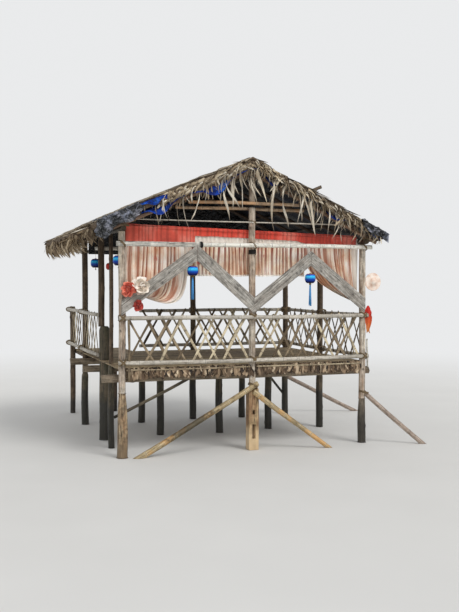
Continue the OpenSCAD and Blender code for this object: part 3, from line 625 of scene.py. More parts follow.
# split bamboo, pale inside and brown skin: each slat has its own tone
def splitMaterial(name, look):
    material, add, shader = newMaterial(name)
    grain = add("Attribute", out="Vector", attribute_name="grain")
    shade = add("Attribute", out="Fac", attribute_name="knot")
    culm = add("Attribute", out="Fac", attribute_name="culm")
    moved = add("Mapping", {"Vector": grain, "Scale": (260, 260, 5)})
    fibre = add("TexNoise", {"Vector": moved, "Scale": 1.0, "Detail": 4.0})
    mottle = add("TexNoise", {"Vector": grain, "Scale": 9.0, "Detail": 6.0})
    tone = add("ValToRGB", [shade], stops=zip((0.0, 0.55, 1.0), look["tones"]))
    streak = add("MapRange", [fibre, 0.3, 0.7, 0.72, 1.2])
    colour = add("Mix", {0: 1.0, 6: tone, 7: streak}, **multiply)
    stain = add("MapRange", [mottle, 0.48, 0.7, 0.0, 0.8])
    colour = add("Mix", {0: stain, 6: colour, 7: look["stain"]}, **blend)
    part = add("Math", [culm, 1.0], operation="PINGPONG")
    ring = add("MapRange", [part, 0.015, 0.05, 0.8, 0.0])
    colour = add("Mix", {0: ring, 6: colour, 7: look["ring"]}, **blend)
    bump = add("Bump", {"Height": fibre, "Strength": 0.5, "Distance": 0.002})
    fill(shader, {"Base Color": colour, "Roughness": 0.68, "Normal": bump})
    return material


# rained on: each slat streaked in its own tone
latticeSplit = splitMaterial("bamboo split and weathered", {
    "tones": ("#55462f", "#97856a", "#dccdac"), "stain": "#4b3c2b", "ring": "#3d3023"})
# trodden: duller, with less between light and dark
deckSplit = splitMaterial("bamboo split and trodden", {
    "tones": ("#6b5a43", "#927e60", "#b8a580"), "stain": "#564632", "ring": "#463827"})

lattice = {"low": 1.638, "high": 2.432, "slat": 0.044, "thick": 0.015, "lap": 0.005,
           "pitch": 0.262, "lean": 31.0, "wander": 0.014, "drift": 2.2}


# crossed slats between two posts, each off its place as the source has it
def latticeBay(low, high, seed, place):
    height = lattice["high"] - lattice["low"]
    reach = height * math.tan(math.radians(lattice["lean"]))
    count = math.floor((high - low - reach) / lattice["pitch"])
    step = (high - low - reach - lattice["slat"]) / count
    length = height / math.cos(math.radians(lattice["lean"]))
    rng = random.Random(seed)
    meshes = []
    for i in range(count + 1):
        for side in (0, 1):
            wander = lattice["wander"] * math.sin(math.radians(97 * i + 140 * side)) if i else 0
            drift = lattice["drift"] * math.sin(math.radians(151 * i + 60 * side)) - 2
            angle = math.radians((1 - 2 * side) * (lattice["lean"] + drift))
            foot = Vector((low + lattice["slat"] / 2 + i * step + side * reach + wander,
                           side * (lattice["thick"] - lattice["lap"]) + lattice["thick"] / 2,
                           lattice["low"]))
            head = foot + Vector((math.sin(angle), 0, math.cos(angle))) * length
            mesh = flatSlat(foot, head, lattice["slat"] * rng.uniform(0.84, 1.26),
                            lattice["thick"] * 0.9, (0, 1, 0), seed * 50 + i * 2 + side, 0.012)
            mesh.transform(place)
            meshes.append(mesh)
    return meshes


def weaveLattices():
    gap = hut["postRadius"] + 0.008
    left, right, front, rear = hut["left"], hut["right"], hut["front"], hut["rear"]
    quarter = Matrix.Rotation(math.pi / 2, 4, "Z")
    inFront = Matrix.Translation((0, front - 0.06, 0))
    behind = Matrix.Translation((0, rear + 0.035, 0))
    atRight = Matrix.Translation((right + 0.06, 0, 0)) @ quarter
    atLeft = Matrix.Translation((left - 0.035, 0, 0)) @ quarter
    bays = {
        "front_lattice_left": [(left + gap, -gap, inFront)],
        "front_lattice_right": [(gap, right - gap, inFront)],
        "rear_lattice": [(left + 1.24, -gap, behind), (gap, right - gap, behind)],
        "right_lattice": [(front + gap, -gap, atRight), (gap, rear - gap, atRight)],
        "left_lattice": [(gap, rear - gap, atLeft), (rear + gap, hut["far"] - 0.15 - gap, atLeft)],
    }
    for number, (name, runs) in enumerate(bays.items()):
        meshes = []
        for part, (low, high, place) in enumerate(runs):
            meshes += latticeBay(low, high, 700 + number * 10 + part, place)
        finishPiece(name + "Slats", collect(meshes), latticeSplit, name)


weaveLattices()
print("lattices woven")

deck = {"slat": 0.047, "gap": 0.003, "thick": 0.021, "sunk": 0.0125}
walkway = {"slat": 0.046, "pitch": 0.052, "thick": 0.022}


def layDeck():
    rng = random.Random(31)
    meshes = []
    y = hut["front"] + deck["slat"] / 2 + 0.002
    z = hut["floor"] - deck["sunk"]
    while y < hut["rear"] - 0.02:
        joint = rng.uniform(-1.6, 1.6)
        for low, high in ((hut["left"] - 0.055, joint - 0.004),
                          (joint + 0.004, hut["right"] + 0.055)):
            meshes.append(flatSlat((low, y, z), (high, y, z), deck["slat"] * rng.uniform(0.86, 1.0),
                                   deck["thick"], (0, 0, 1), 9000 + len(meshes), 0.003, 0.16))
        y += deck["slat"] + deck["gap"]
    finishPiece("floorSlats", collect(meshes), deckSplit, "floor_deck")


def layWalkway():
    meshes, slats = [], []
    for part, points in enumerate(solidsOf("walkway")):
        low, high = points.min(0), points.max(0)
        if high[2] - low[2] > 0.05:
            ends, radii = poleLine(points)
            look = {"bend": 0.004, "lumps": 0.05, "knots": 1}
            meshes.append(grownPole(ends, radii, look, 330 + part))
            continue
        y, z, number = low[1] + 0.025, (low[2] + high[2]) / 2, 0
        rng = random.Random(8)
        while y < high[1]:
            slats.append(flatSlat((low[0] + rng.uniform(-0.01, 0.03), y, z),
                                  (high[0] + rng.uniform(-0.03, 0.01), y, z),
                                  walkway["slat"] * rng.uniform(0.85, 1.0), walkway["thick"],
                                  (0, 0, 1), 9500 + number, 0.004, 0.12))
            number += 1
            y += walkway["pitch"]
    finishPiece("walkwayPoles", collect(meshes), shadeLog, "walkway")
    finishPiece("walkwaySlats", collect(slats), deckSplit)


layDeck()
layWalkway()
print("floor laid")


# dry nipa palm leaf: folded along its rib, sun-bleached cream to brown, frayed tip
def leafMaterial(name, look):
    material, add, shader = newMaterial(name)
    tint = add("Attribute", out="Fac", attribute_name="tint")
    flat = add("UVMap", uv_map="leaf")
    place = add("TexCoord", out="Object")
    across = add("Mapping", {"Vector": flat, "Scale": (22, 1.6, 1)})
    own = add("CombineXYZ", [add("Math", [tint, 91.0], operation="MULTIPLY")])
    shifted = add("VectorMath", [across, own], operation="ADD")
    veins = add("TexNoise", {"Vector": shifted, "Scale": 1.0, "Detail": 3.0})
    blotch = add("TexNoise", {"Vector": place, "Scale": 2.6, "Detail": 5.0})
    tone = add("ValToRGB", [tint], stops=zip((0.0, 0.35, 0.7, 1.0), look))
    streak = add("MapRange", [veins, 0.3, 0.7, 0.68, 1.2])
    colour = add("Mix", {0: 1.0, 6: tone, 7: streak}, **multiply)
    damp = add("MapRange", [blotch, 0.46, 0.66, 0.0, 0.62])
    colour = add("Mix", {0: damp, 6: colour, 7: look[0]}, **blend)
    tip = add("MapRange", [add("SeparateXYZ", [flat], "Y"), 0.72, 1.0, 0.0, 0.5])
    colour = add("Mix", {0: tip, 6: colour, 7: look[1]}, **blend)
    bump = add("Bump", {"Height": veins, "Strength": 0.6, "Distance": 0.003})
    fill(shader, {"Base Color": colour, "Roughness": 0.78, "Normal": bump})
    return material


# the bundled leaf behind the surface: stacked dark layers along the slope
def thatchBodyMaterial():
    material, add, shader = newMaterial("nipa palm leaf stacked in courses")
    moved = add("Mapping", {"Vector": add("TexCoord", out="Object"), "Scale": (7, 38, 70)})
    layers = add("TexNoise", {"Vector": moved, "Scale": 1.0, "Detail": 7.0, "Roughness": 0.7})
    tone = add("ValToRGB", [layers], stops=[(0.32, "#2b211a"), (0.5, "#665441"),
                                            (0.7, "#93826b")])
    bump = add("Bump", {"Height": layers, "Strength": 1.0, "Distance": 0.02})
    fill(shader, {"Base Color": tone, "Roughness": 0.9, "Normal": bump})
    return material


# each leaf's tones from dark to pale
thatchLeaf = leafMaterial("nipa palm leaf dried grey brown",
                          ("#41372d", "#7f7059", "#b3a48d", "#dfd4c0"))
fringeLeaf = leafMaterial("nipa palm leaflet bleached cream",
                          ("#675643", "#a99578", "#dccbac", "#fbf2df"))
barkLeaf = leafMaterial("palm bark and sheath dried brown",
                        ("#241b15", "#67523d", "#ad9477", "#e6d0b0"))
thatchBody = thatchBodyMaterial()


# a square of faces from 0 to 1 both ways, with its UV map
def flatGrid(columns, rows, sheet):
    bm = bmesh.new()
    bmesh.ops.create_grid(bm, x_segments=columns, y_segments=rows, size=0.5)
    layer = bm.loops.layers.uv.new(sheet)
    for face in bm.faces:
        for loop in face.loops:
            loop[layer].uv = (loop.vert.co.x + 0.5, loop.vert.co.y + 0.5)
    return bm


# one leaflet along +Y from the origin: folded on its rib, bent down to the tip
def leafMesh(length, width, droop, curl, twist=0.0, steps=5, hang=0.0, sheet="leaf"):
    bm = flatGrid(2, steps, sheet)
    for vert in bm.verts:
        side, t = vert.co.x * 2, vert.co.y + 0.5
        wide = width / 2 * (0.75 + 0.5 * t) * (1 - t ** 5) + 0.001
        fall = droop * t * t
        angle = twist * t
        x = side * wide
        z = -abs(side) * wide * 0.45 * curl
        reach, sink = t * math.cos(fall * 0.5), t * math.sin(fall * 0.5)
        if hang:
            x += 0.035 * length * math.sin(7.0 * t + 9 * twist) * t
            turns = [droop * (1 - math.exp(-hang * t * (n + 0.5) / 16)) for n in range(16)]
            reach = t * sum(math.cos(a) for a in turns) / 16
            sink = t * sum(math.sin(a) for a in turns) / 16
        vert.co = Vector((x * math.cos(angle) - z * math.sin(angle), length * reach,
                          x * math.sin(angle) + z * math.cos(angle) - length * sink))
    return toMesh(bm)


# copies of the leaf shapes at the given places, each with its own tint
def scatterLeaves(name, shapes, places, material, node=None, body=None):
    bm = bmesh.new()
    if body is not None:
        core = toMesh(body)
        bm.from_mesh(core)
        bpy.data.meshes.remove(core)
    for face in bm.faces:
        face.material_index = 1
    tints = [0.3] * len(bm.verts)
    for shape, matrix, tint in places:
        mesh = shapes[shape]
        back = matrix.inverted()
        mesh.transform(matrix)
        bm.from_mesh(mesh)
        mesh.transform(back)
        tints += [tint] * len(mesh.vertices)
    piece = finishPiece(name, bm, material, node)
    piece.data.attributes.new("tint", "FLOAT", "POINT").data.foreach_set("value", tints)
    for mesh in shapes:
        bpy.data.meshes.remove(mesh)
    return piece


def slopeFrame(side):
    pitch = math.radians(hut["pitchLeft"] if side < 0 else hut["pitchRight"])
    down = Vector((side * math.cos(pitch), 0, -math.sin(pitch)))
    up = Vector((side * math.sin(pitch), 0, math.cos(pitch)))
    return down, up


# a place on the roof: s down the slope from the ridge, t above the rafters
def slopePoint(side, s, t, y):
    down, up = slopeFrame(side)
    return Vector((hut["ridgeX"], 0, hut["apex"])) + down * s + up * t + Vector((0, y, 0))


def leafPlace(root, along, up, roll=0.0, scale=1.0):
    along = along.normalized()
    across = along.cross(up).normalized()
    lift = across.cross(along)
    turn = Matrix((across, along, lift)).transposed().to_4x4()
    return Matrix.Translation(root) @ turn @ Matrix.Rotation(roll, 4, "Y") @ Matrix.Scale(scale, 4)


def shadeNear(rng, middle, spread):
    return min(1, max(0, rng.gauss(middle, spread)))


thatch = {"leaf": 0.052, "length": 0.50, "spacing": 0.027, "drop": 0.024, "top": 0.199,
          "stripTop": 0.185, "overFront": 0.02}


# each leaf comes out under the course above it and lies on its own course
def thatchSlope(name, side, length, front, courses, start, topAt, seed):
    rng = random.Random(seed)
    down, up = slopeFrame(side)
    shapes = [leafMesh(thatch["length"], thatch["leaf"], droop, curl, twist)
              for droop, curl, twist in ((0.0, 0.5, 0.1), (0.05, 0.7, -0.25), (-0.06, 0.4, 0.3),
                                         (0.1, 0.9, 0.45), (0.02, 0.3, -0.5))]

    def surface(s):
        if start > 0:
            return topAt
        return topAt + hut["swell"] * math.sin(math.pi * min(max(s / length, 0), 1))

    places = []
    for k in range(courses):
        low = start + (length - start) * (k + 1) / courses
        y = front
        while y < hut["rakeRear"]:
            y += thatch["spacing"] * rng.uniform(0.5, 1.5)
            reach = low + rng.uniform(-0.05, 0.075)
            head = max(reach - thatch["length"] * rng.uniform(0.82, 1.0), 0.03)
            lift = rng.uniform(0.006, 0.02)
            root = slopePoint(side, head, surface(head) + lift, y)
            rise = surface(reach) + thatch["drop"] + lift * 0.6 - surface(head) - lift
            aim = (down * (reach - head) + up * rise
                   + Vector((0, (reach - head) * rng.gauss(0, 0.1), 0)))
            tint = shadeNear(rng, 0.44, 0.25)
            places.append((rng.randrange(len(shapes)),
                           leafPlace(root, aim, up, rng.gauss(0, 0.22),
                                     aim.length / thatch["length"]), tint))
    scatterLeaves(name + "Leaves", shapes, places, [thatchLeaf, thatchBody], name,
                  cadCopy(name, 0.25))


thatchSlope("thatch_left", -1, hut["slopeLeft"], hut["rakeFront"] - thatch["overFront"],
            hut["courses"], 0.0, thatch["top"], 11)
thatchSlope("thatch_right", 1, hut["slopeRight"], hut["rakeFront"] - thatch["overFront"],
            hut["courses"], 0.0, thatch["top"], 12)
thatchSlope("thatch_strip", -1, hut["slopeLeft"] + hut["stripWidth"], hut["stripFront"],
            2, hut["slopeLeft"], thatch["stripTop"], 13)
print("thatch laid")

# long tips in clumps: place down the slope, longest leaf and how many, then what share is kept
fringe = {
    "clumps": {-1: ((1.93, 0.30, 6), (1.73, 0.55, 10), (1.52, 0.52, 8), (1.16, 0.85, 16),
                    (0.98, 0.45, 8), (0.74, 0.40, 10), (0.52, 0.5, 8), (0.33, 1.0, 10),
                    (0.14, 0.62, 12), (0.03, 0.95, 17)),
               1: ((0.05, 0.85, 16), (0.22, 0.6, 12), (0.42, 0.5, 10), (0.67, 1.1, 12),
                   (0.86, 0.45, 8), (1.02, 0.5, 10), (1.25, 0.9, 16), (1.44, 0.45, 8),
                   (1.62, 0.70, 12), (1.84, 0.4, 8), (2.06, 0.56, 13), (2.32, 0.36, 9),
                   (2.56, 0.32, 8), (2.72, 0.25, 4))},
    "kept": {-1: 0.46, 1: 0.58},
    # short tips and bound leaf: how many, and how far down the slope they go
    "short": {-1: (30, 1.35), 1: (90, 2.8)}, "bound": {-1: (240, 1.75), 1: (310, 2.55)},
    "strip": 130, "eave": 420, "rear": 360, "reachFront": 0.34, "reachSide": 0.16,
}


# leaf tips that lean out over the rake and hang in front of the gable
def rakeFringe():
    rng = random.Random(77)
    long = [leafMesh(1.0, width, droop, 0.9, twist, 13, hang) for width, droop, twist, hang in (
        (0.072, 2.0, 0.9, 4.2), (0.084, 1.9, -1.3, 5.4), (0.056, 2.2, 2.2, 3.4),
        (0.078, 1.8, -0.5, 6.6), (0.064, 2.1, 3.0, 4.4))]
    short = [leafMesh(0.42, 0.055, droop, 0.8, twist, 6, hang) for droop, twist, hang in (
        (1.3, 0.5, 3.0), (1.7, -0.8, 4.0), (1.0, 1.1, 2.5), (1.5, 0.0, 6.0))]
    front, rear = hut["rakeFront"], hut["rakeRear"]
    eave = hut["slopeLeft"] + hut["stripWidth"]
    over = Vector((0, 0, 1))
    places = []

    def lay(kind, root, aim, up, roll, size, tint):
        places.append((kind, leafPlace(root, aim, up, roll, size), tint))

    for side in (-1, 1):
        down, up = slopeFrame(side)
        for clump, most, count in fringe["clumps"][side]:
            for number in range(round(count * fringe["kept"][side])):
                s = max(0.01, clump + rng.gauss(0, 0.05))
                root = slopePoint(side, s, rng.uniform(0.15, 0.225), front + rng.uniform(0.0, 0.07))
                turn = side if rng.random() < 0.66 else -side
                aim = Vector((turn * rng.uniform(0.5, 1.4), -rng.uniform(0.05, 0.4),
                              rng.uniform(0.0, 0.5)))
                size = most * (1.08 if number == 0 else rng.uniform(0.35, 0.98))
                lay(rng.randrange(5), root, aim, over, rng.gauss(0, 0.25), size,
                    shadeNear(rng, 0.93, 0.22))
        count, reach = fringe["short"][side]
        for _ in range(count):
            root = slopePoint(side, rng.uniform(0.02, reach), rng.uniform(0.118, 0.23),
                              front + rng.uniform(-0.01, 0.08))
            aim = Vector((0, -1, 0)) * rng.uniform(0.3, 0.8) + down * rng.uniform(0.2, 1.0) \
                + up * rng.uniform(-0.3, 0.25)
            lay(5 + rng.randrange(4), root, aim, up, rng.gauss(0, 0.6), rng.uniform(0.35, 0.8),
                shadeNear(rng, 0.45, 0.26))
        # bundles bound along the edge, leaf lying with the slope
        count, reach = fringe["bound"][side]
        for _ in range(count):
            root = slopePoint(side, rng.uniform(-0.1, reach), rng.uniform(0.10, 0.235),
                              front - rng.uniform(-0.01, 0.05))
            aim = down + up * rng.gauss(0, 0.12) + Vector((0, -rng.uniform(0.0, 0.15), 0))
            lay(5 + rng.randrange(4), root, aim, Vector((0, -1, 0.3)),
                -side * abs(rng.gauss(0.1, 0.35)), rng.uniform(0.5, 1.0), shadeNear(rng, 0.5, 0.3))
    # the strip on the left eave is older: its front edge sags in loose leaves
    for _ in range(fringe["strip"]):
        root = slopePoint(-1, hut["slopeLeft"] + rng.uniform(-0.25, hut["stripWidth"] + 0.02),
                          rng.uniform(0.13, 0.19), hut["stripFront"] + rng.uniform(0.0, 0.05))
        aim = Vector((max(-0.4, rng.gauss(-0.1, 0.4)), -rng.uniform(0.1, 0.5),
                      -rng.uniform(0.3, 1.0)))
        lay(5 + rng.randrange(4), root, aim, over, rng.gauss(0, 0.5), rng.uniform(0.4, 0.85),
            shadeNear(rng, 0.2, 0.2))
    # and its leaf ends droop all along the eave
    for _ in range(fringe["eave"]):
        y = rng.uniform(hut["stripFront"], rear)
        root = slopePoint(-1, eave - rng.uniform(0.0, 0.10), rng.uniform(0.115, 0.185), y)
        aim = Vector((-rng.uniform(0.05, 0.42), rng.gauss(0, 0.3), -rng.uniform(0.5, 1.0)))
        lay(5 + rng.randrange(4), root, aim, Vector((-0.6, 0, 0.8)), rng.gauss(0, 0.5),
            rng.uniform(0.45, 0.95), shadeNear(rng, 0.22, 0.22))
    # the rear edge is bound the same way, with shorter loose tips
    for side, reach in ((-1, eave), (1, hut["slopeRight"])):
        down, up = slopeFrame(side)
        for number in range(fringe["rear"]):
            root = slopePoint(side, rng.uniform(-0.05, reach - 0.06), rng.uniform(0.10, 0.215),
                              rear - rng.uniform(-0.02, 0.05))
            loose = number % 4 == 0
            aim = down * rng.uniform(0.2, 1.0) + Vector((0, rng.uniform(0.3, 0.8), -0.3)) if loose \
                else down + up * rng.gauss(0, 0.12) + Vector((0, rng.uniform(0.0, 0.15), 0))
            lay(5 + rng.randrange(4), root, aim, Vector((0, 1, 0.3)),
                side * abs(rng.gauss(0.1, 0.35)), rng.uniform(0.5, 1.0), shadeNear(rng, 0.3, 0.25))
    piece = scatterLeaves("rakeFringe", long + short, places, fringeLeaf)
    # leaves that spring far out hang back towards the gable and the eave
    near = front - fringe["reachFront"]
    out = slopePoint(-1, eave, 0.15, 0).x - fringe["reachSide"]
    for vert in piece.data.vertices:
        if vert.co.y < near:
            vert.co.y = near - 0.08 * (1 - math.exp((vert.co.y - near) / 0.08))
        if vert.co.x < out:
            vert.co.x = out - 0.05 * (1 - math.exp((vert.co.x - out) / 0.05))


rakeFringe()
print("fringe hung")


# a sheet from a grid whose points follow a rule; its UV stays the flat cloth
def clothGrid(name, columns, rows, rule, material, node=None):
    bm = flatGrid(columns, rows, "flat")
    fold = bm.verts.layers.float.new("fold")
    for vert in bm.verts:
        place = rule(vert.co.x + 0.5, vert.co.y + 0.5)
        vert.co = place[:3]
        vert[fold] = place[3] if len(place) > 3 else 0.0
    return finishPiece(name, bm, material, node)


def noiseAt(x, y, z):
    return noise.noise(Vector((x, y, z)))


def wave(x, seed=0.0):
    return noiseAt(x, seed, 3.7)


# woven polyethylene tarpaulin: taut shine, fine square weave, painted shade and light on its
# crumples
def tarpMaterial():
    material, add, shader = newMaterial("polyethylene tarpaulin woven blue")
    place = add("TexCoord", out="Object")
    flat = add("UVMap", uv_map="flat")
    dust = add("TexNoise", {"Vector": place, "Scale": 1.8, "Detail": 7.0, "Roughness": 0.65})
    # under the roof the tarp is painted in shade, nearly black blue, mottled by dust
    tone = add("ValToRGB", [dust], stops=[(0.34, "#04060c"), (0.5, "#060b1c"),
                                          (0.62, "#071436"), (0.75, "#0a2a6e")])
    bright = add("ValToRGB", [dust], stops=[(0.36, "#041238"), (0.5, "#08308a"),
                                            (0.58, "#0f4cc0"), (0.7, "#3f86e0")])
    # only the edge that hangs out over the gable is bright blue, a painted light; the rest keeps
    # the painted shade
    outer = add("MapRange", [add("SeparateXYZ", [place], "Y"), -2.02, -2.17])
    colour = add("Mix", {0: outer, 6: tone, 7: bright}, **blend)
    # the crumples painted darker in their hollows and lighter on their tops, as painted shade and
    # highlight
    crumple = add("TexNoise", {"Vector": place, "Scale": 14.0, "Detail": 3.0, "Distortion": 1.0})
    shaded = add("MapRange", [crumple, 0.38, 0.62, 0.3, 1.1])
    colour = add("Mix", {0: 1.0, 6: colour, 7: shaded}, **multiply)
    # tape weave of 2.5 mm, drawn at 12 mm so that it shows
    moved = add("Mapping", {"Vector": flat, "Scale": (5.7, 4.4, 1)})
    tape, cross = (add("TexWave", {"Vector": moved, "Scale": 26.0}, "Fac", bands_direction=way)
                   for way in "XY")
    weave = add("Math", [tape, cross], operation="ADD")
    height = add("Math", [crumple, 9.0, weave], operation="MULTIPLY_ADD")
    bump = add("Bump", {"Height": height, "Strength": 0.7, "Distance": 0.005})
    fill(shader, {"Base Color": colour, "Roughness": 0.5, "Specular IOR Level": 0.3,
                  "Normal": bump})
    return material


# black builder's film: soft plastic shine over sharp creases, grey with dust
def filmMaterial(name, look):
    material, add, shader = newMaterial(name)
    place = add("TexCoord", out="Object")
    dust = add("TexNoise", {"Vector": place, "Scale": 4.0, "Detail": 5.0, "Roughness": 0.55})
    tone = add("ValToRGB", [dust], stops=zip((0.42, 0.53, 0.66), look["tones"]))
    rough = add("MapRange", {0: dust, 3: 0.14, 4: 0.38})
    pulled = add("Mapping", {"Vector": place, "Scale": (16, 5, 16)})
    crease = add("TexNoise", {"Vector": pulled, "Scale": 1.0, "Detail": 3.0, "Distortion": 1.4})
    # painted shade darkens the valleys and a painted highlight lies pale on the crests of the broad
    # folds
    broad = add("Mapping", {"Vector": place, "Scale": (5.0, 3, 6.5)})
    ridge = add("TexNoise", {"Vector": broad, "Scale": 1.6, "Detail": 3.0, "Roughness": 0.6,
                             "Distortion": 0.35})
    foldShade = add("MapRange", [ridge, 0.42, 0.52, 0.08, 1.0])
    foldHighlight = add("MapRange", [ridge, 0.52, 0.72, 0.0, look["foldHighlight"]])
    colour = add("Mix", {0: 1.0, 6: tone, 7: foldShade}, **multiply)
    colour = add("Mix", {0: foldHighlight, 6: colour, 7: "#b4b3be"}, **blend)
    folds = add("Math", [ridge, 2.0, crease], operation="MULTIPLY_ADD")
    bump = add("Bump", {"Height": folds, "Strength": 0.9, "Distance": 0.028})
    fill(shader, {"Base Color": colour, "Roughness": rough, "Normal": bump})
    return material


blueTarp = tarpMaterial()
# out in the sun, with a painted highlight on its crests
blackFilm = filmMaterial("polythene film black and creased", {
    "tones": ("#0b0d11", "#30343c", "#83899a"), "foldHighlight": 0.72})
# in the shade, an almost even black
gableBlack = filmMaterial("polythene film black in the shade", {
    "tones": ("#0b0d11", "#0f1216", "#22272e"), "foldHighlight": 0.04})

# bellies of the front edge: place across the roof, half width and share of the drop
tarp = {"length": 4.42, "over": 0.03, "sag": 0.018, "purlins": 0.66, "drop": 0.23,
        "bellies": ((-0.68, 0.26, 1.0), (-1.75, 0.2, 0.7), (1.7, 0.2, 0.5), (0.34, 0.16, 0.6))}


def spreadTarp():
    width = hut["slopeLeft"] + hut["slopeRight"]

    def rule(u, v):
        run = -hut["slopeLeft"] + 0.01 + (width - 0.02) * u
        side = -1 if run < 0 else 1
        s = abs(run)
        y = hut["rakeFront"] - tarp["over"] + v * tarp["length"]
        sag = tarp["sag"] * abs(math.sin(math.pi * s / tarp["purlins"])) \
            * (0.6 + 0.5 * wave(y * 1.3, s))
        t = hut["tarpAt"] + 0.003 - sag + 0.004 * wave(s * 9 + y * 7, 1.5)
        point = slopePoint(side, s, t if s > 0.06 else hut["tarpAt"] + 0.003, y)
        edge = max(0.0, 1 - v / 0.03)
        bulge = sum(share * math.exp(-((run - at) / wide) ** 2)
                    for at, wide, share in tarp["bellies"])
        point.z -= edge * (0.03 + tarp["drop"] * bulge + 0.03 * max(0.0, wave(run * 5.0, 9.1)))
        point.y -= 0.03 * edge * bulge * math.sin(run * 31)
        return point

    piece = clothGrid("tarpSheet", 150, 70, rule, blueTarp, "roof_tarp")


# s runs down the slope, drop hangs over the rake, height is above the rafters
film = {"height": 0.245, "left": (hut["slopeLeft"] + 0.05, hut["slopeLeft"] - 0.80, 0.36, 4.0),
        "right": (hut["slopeRight"] - 0.56, hut["slopeRight"] + 0.03, 0.21, 8.0)}
flap = {"from": 2.22, "width": 0.60, "height": 0.235, "length": 0.34, "fold": 0.85, "lip": 0.035}


def hangFilm():
    def corner(side, s0, s1, drop, seed):
        def rule(u, v):
            ragged = 0.05 * noiseAt(v * 3.1, seed, 1.0)
            s = s0 + (s1 - s0) * u + ragged * (2 * u - 1)
            crumple = 0.040 * noiseAt(u * 6, v * 5, seed) + 0.022 * noiseAt(u * 16, v * 14, seed)
            if v < 0.5:
                y = hut["rakeFront"] + (0.30 + ragged) * (1 - v / 0.5) - 0.03
                return slopePoint(side, s, film["height"] + abs(crumple), y - 0.02)
            fall = (v - 0.5) / 0.5
            point = slopePoint(side, s, film["height"], hut["rakeFront"] - 0.05)
            edge = drop * (0.72 + 0.9 * wave(u * 2.3, seed))
            return point + Vector((crumple * 1.2, -0.004 - 1.2 * abs(crumple), -fall * edge))
        return rule

    def patch(u, v):
        s = flap["from"] - flap["width"] * u + 0.05 * wave(v * 2, 3)
        crumple = 0.03 * noiseAt(u * 4, v * 4, 6.5)
        if v < flap["fold"]:
            y = hut["rakeFront"] + flap["length"] * (1 - v) - flap["lip"]
            return slopePoint(-1, s, flap["height"] + abs(crumple), y)
        over = v - flap["fold"]
        edge = hut["rakeFront"] + flap["length"] * 0.15 - flap["lip"] - 0.05 * min(1, over / 0.03)
        point = slopePoint(-1, s, flap["height"] - 0.3 * abs(crumple), edge)
        return point + Vector((0, -abs(crumple), -over * (0.7 + 1.1 * wave(u * 3, 2))))

    def gable(u, v):
        x = hut["left"] + 0.07 + (hut["right"] - hut["left"] - 0.14) * u
        low = hut["tie"] - 0.06
        pitch = math.radians(hut["pitchLeft"] if x < hut["ridgeX"] else hut["pitchRight"])
        top = hut["apex"] - abs(x - hut["ridgeX"]) * math.tan(pitch) + 0.085 / math.cos(pitch)
        z = low + (top - low) * v
        fold = 0.012 * noiseAt(x * 3.2, z * 1.1, 2.0) + 0.006 * noiseAt(x * 9, z * 5, 5.0)
        deep = min(0.0, fold) * 0.8 - 0.01 * (1 - v) * abs(wave(x * 4, 1))
        return (x, hut["rear"] - 0.064 + deep, z)

    left = clothGrid("eaveFilmLeft", 70, 50, corner(-1, *film["left"]), blackFilm)
    right = clothGrid("eaveFilmRight", 56, 46, corner(1, *film["right"]), blackFilm)
    blue = clothGrid("tarpFlap", 46, 40, patch, blueTarp)
    back = clothGrid("gableFilm", 90, 34, gable, gableBlack, "black_sheets")


spreadTarp()
hangFilm()
print("sheets spread")

# the cap's leaves: rows at these heights on each slope, and loose ones over them
cap = {"leaf": 0.06, "length": 0.36, "spacing": 0.022, "rows": (0.222, 0.238, 0.25), "loose": 70}


def layRidge():
    rng = random.Random(5)
    shapes = [leafMesh(cap["length"], cap["leaf"], droop, curl, twist) for droop, curl, twist in
              ((0.15, 0.6, 0.1), (0.3, 0.9, -0.3), (0.0, 0.5, 0.4), (0.5, 1.0, 0.5))]
    places = []
    for side in (-1, 1):
        down, up = slopeFrame(side)
        for row, t in enumerate(cap["rows"]):
            y = hut["rakeFront"] - 0.02
            while y < hut["rakeRear"] + 0.01:
                y += cap["spacing"] * rng.uniform(0.5, 1.5)
                root = slopePoint(side, rng.uniform(-0.05, 0.02) - 0.02 * row,
                                  t + rng.uniform(0, 0.012), y)
                aim = down + up * rng.uniform(-0.03, 0.03) + Vector((0, rng.gauss(0, 0.12), 0))
                places.append((rng.randrange(4), leafPlace(root, aim, up, rng.gauss(0, 0.3),
                               rng.uniform(0.72, 1.0)), shadeNear(rng, 0.56, 0.2)))
    for _ in range(cap["loose"]):
        side = rng.choice((-1, 1))
        down, up = slopeFrame(side)
        y = hut["rakeFront"] - 0.03 + 4.4 * rng.random() ** 1.6
        root = slopePoint(side, -0.05, rng.uniform(0.235, 0.25), y)
        aim = down * rng.uniform(0.5, 1) + Vector((0, rng.gauss(0, 0.5), rng.uniform(0.0, 0.16)))
        places.append((rng.randrange(4), leafPlace(root, aim, Vector((0, 0, 1)), rng.gauss(0, 0.5),
                       rng.uniform(0.4, 0.9)), shadeNear(rng, 0.6, 0.25)))
    scatterLeaves("ridgeLeaves", shapes, places, [thatchLeaf, thatchBody],
                  "ridge_cap", cadCopy("ridge_cap", 0.2))


# bark and leaf mat along the floor edge: ragged flaps hung over a batten
mat = {"leaf": 0.085, "length": 0.20, "out": 0.037, "clear": 0.066, "batten": (0.026, 0.012)}


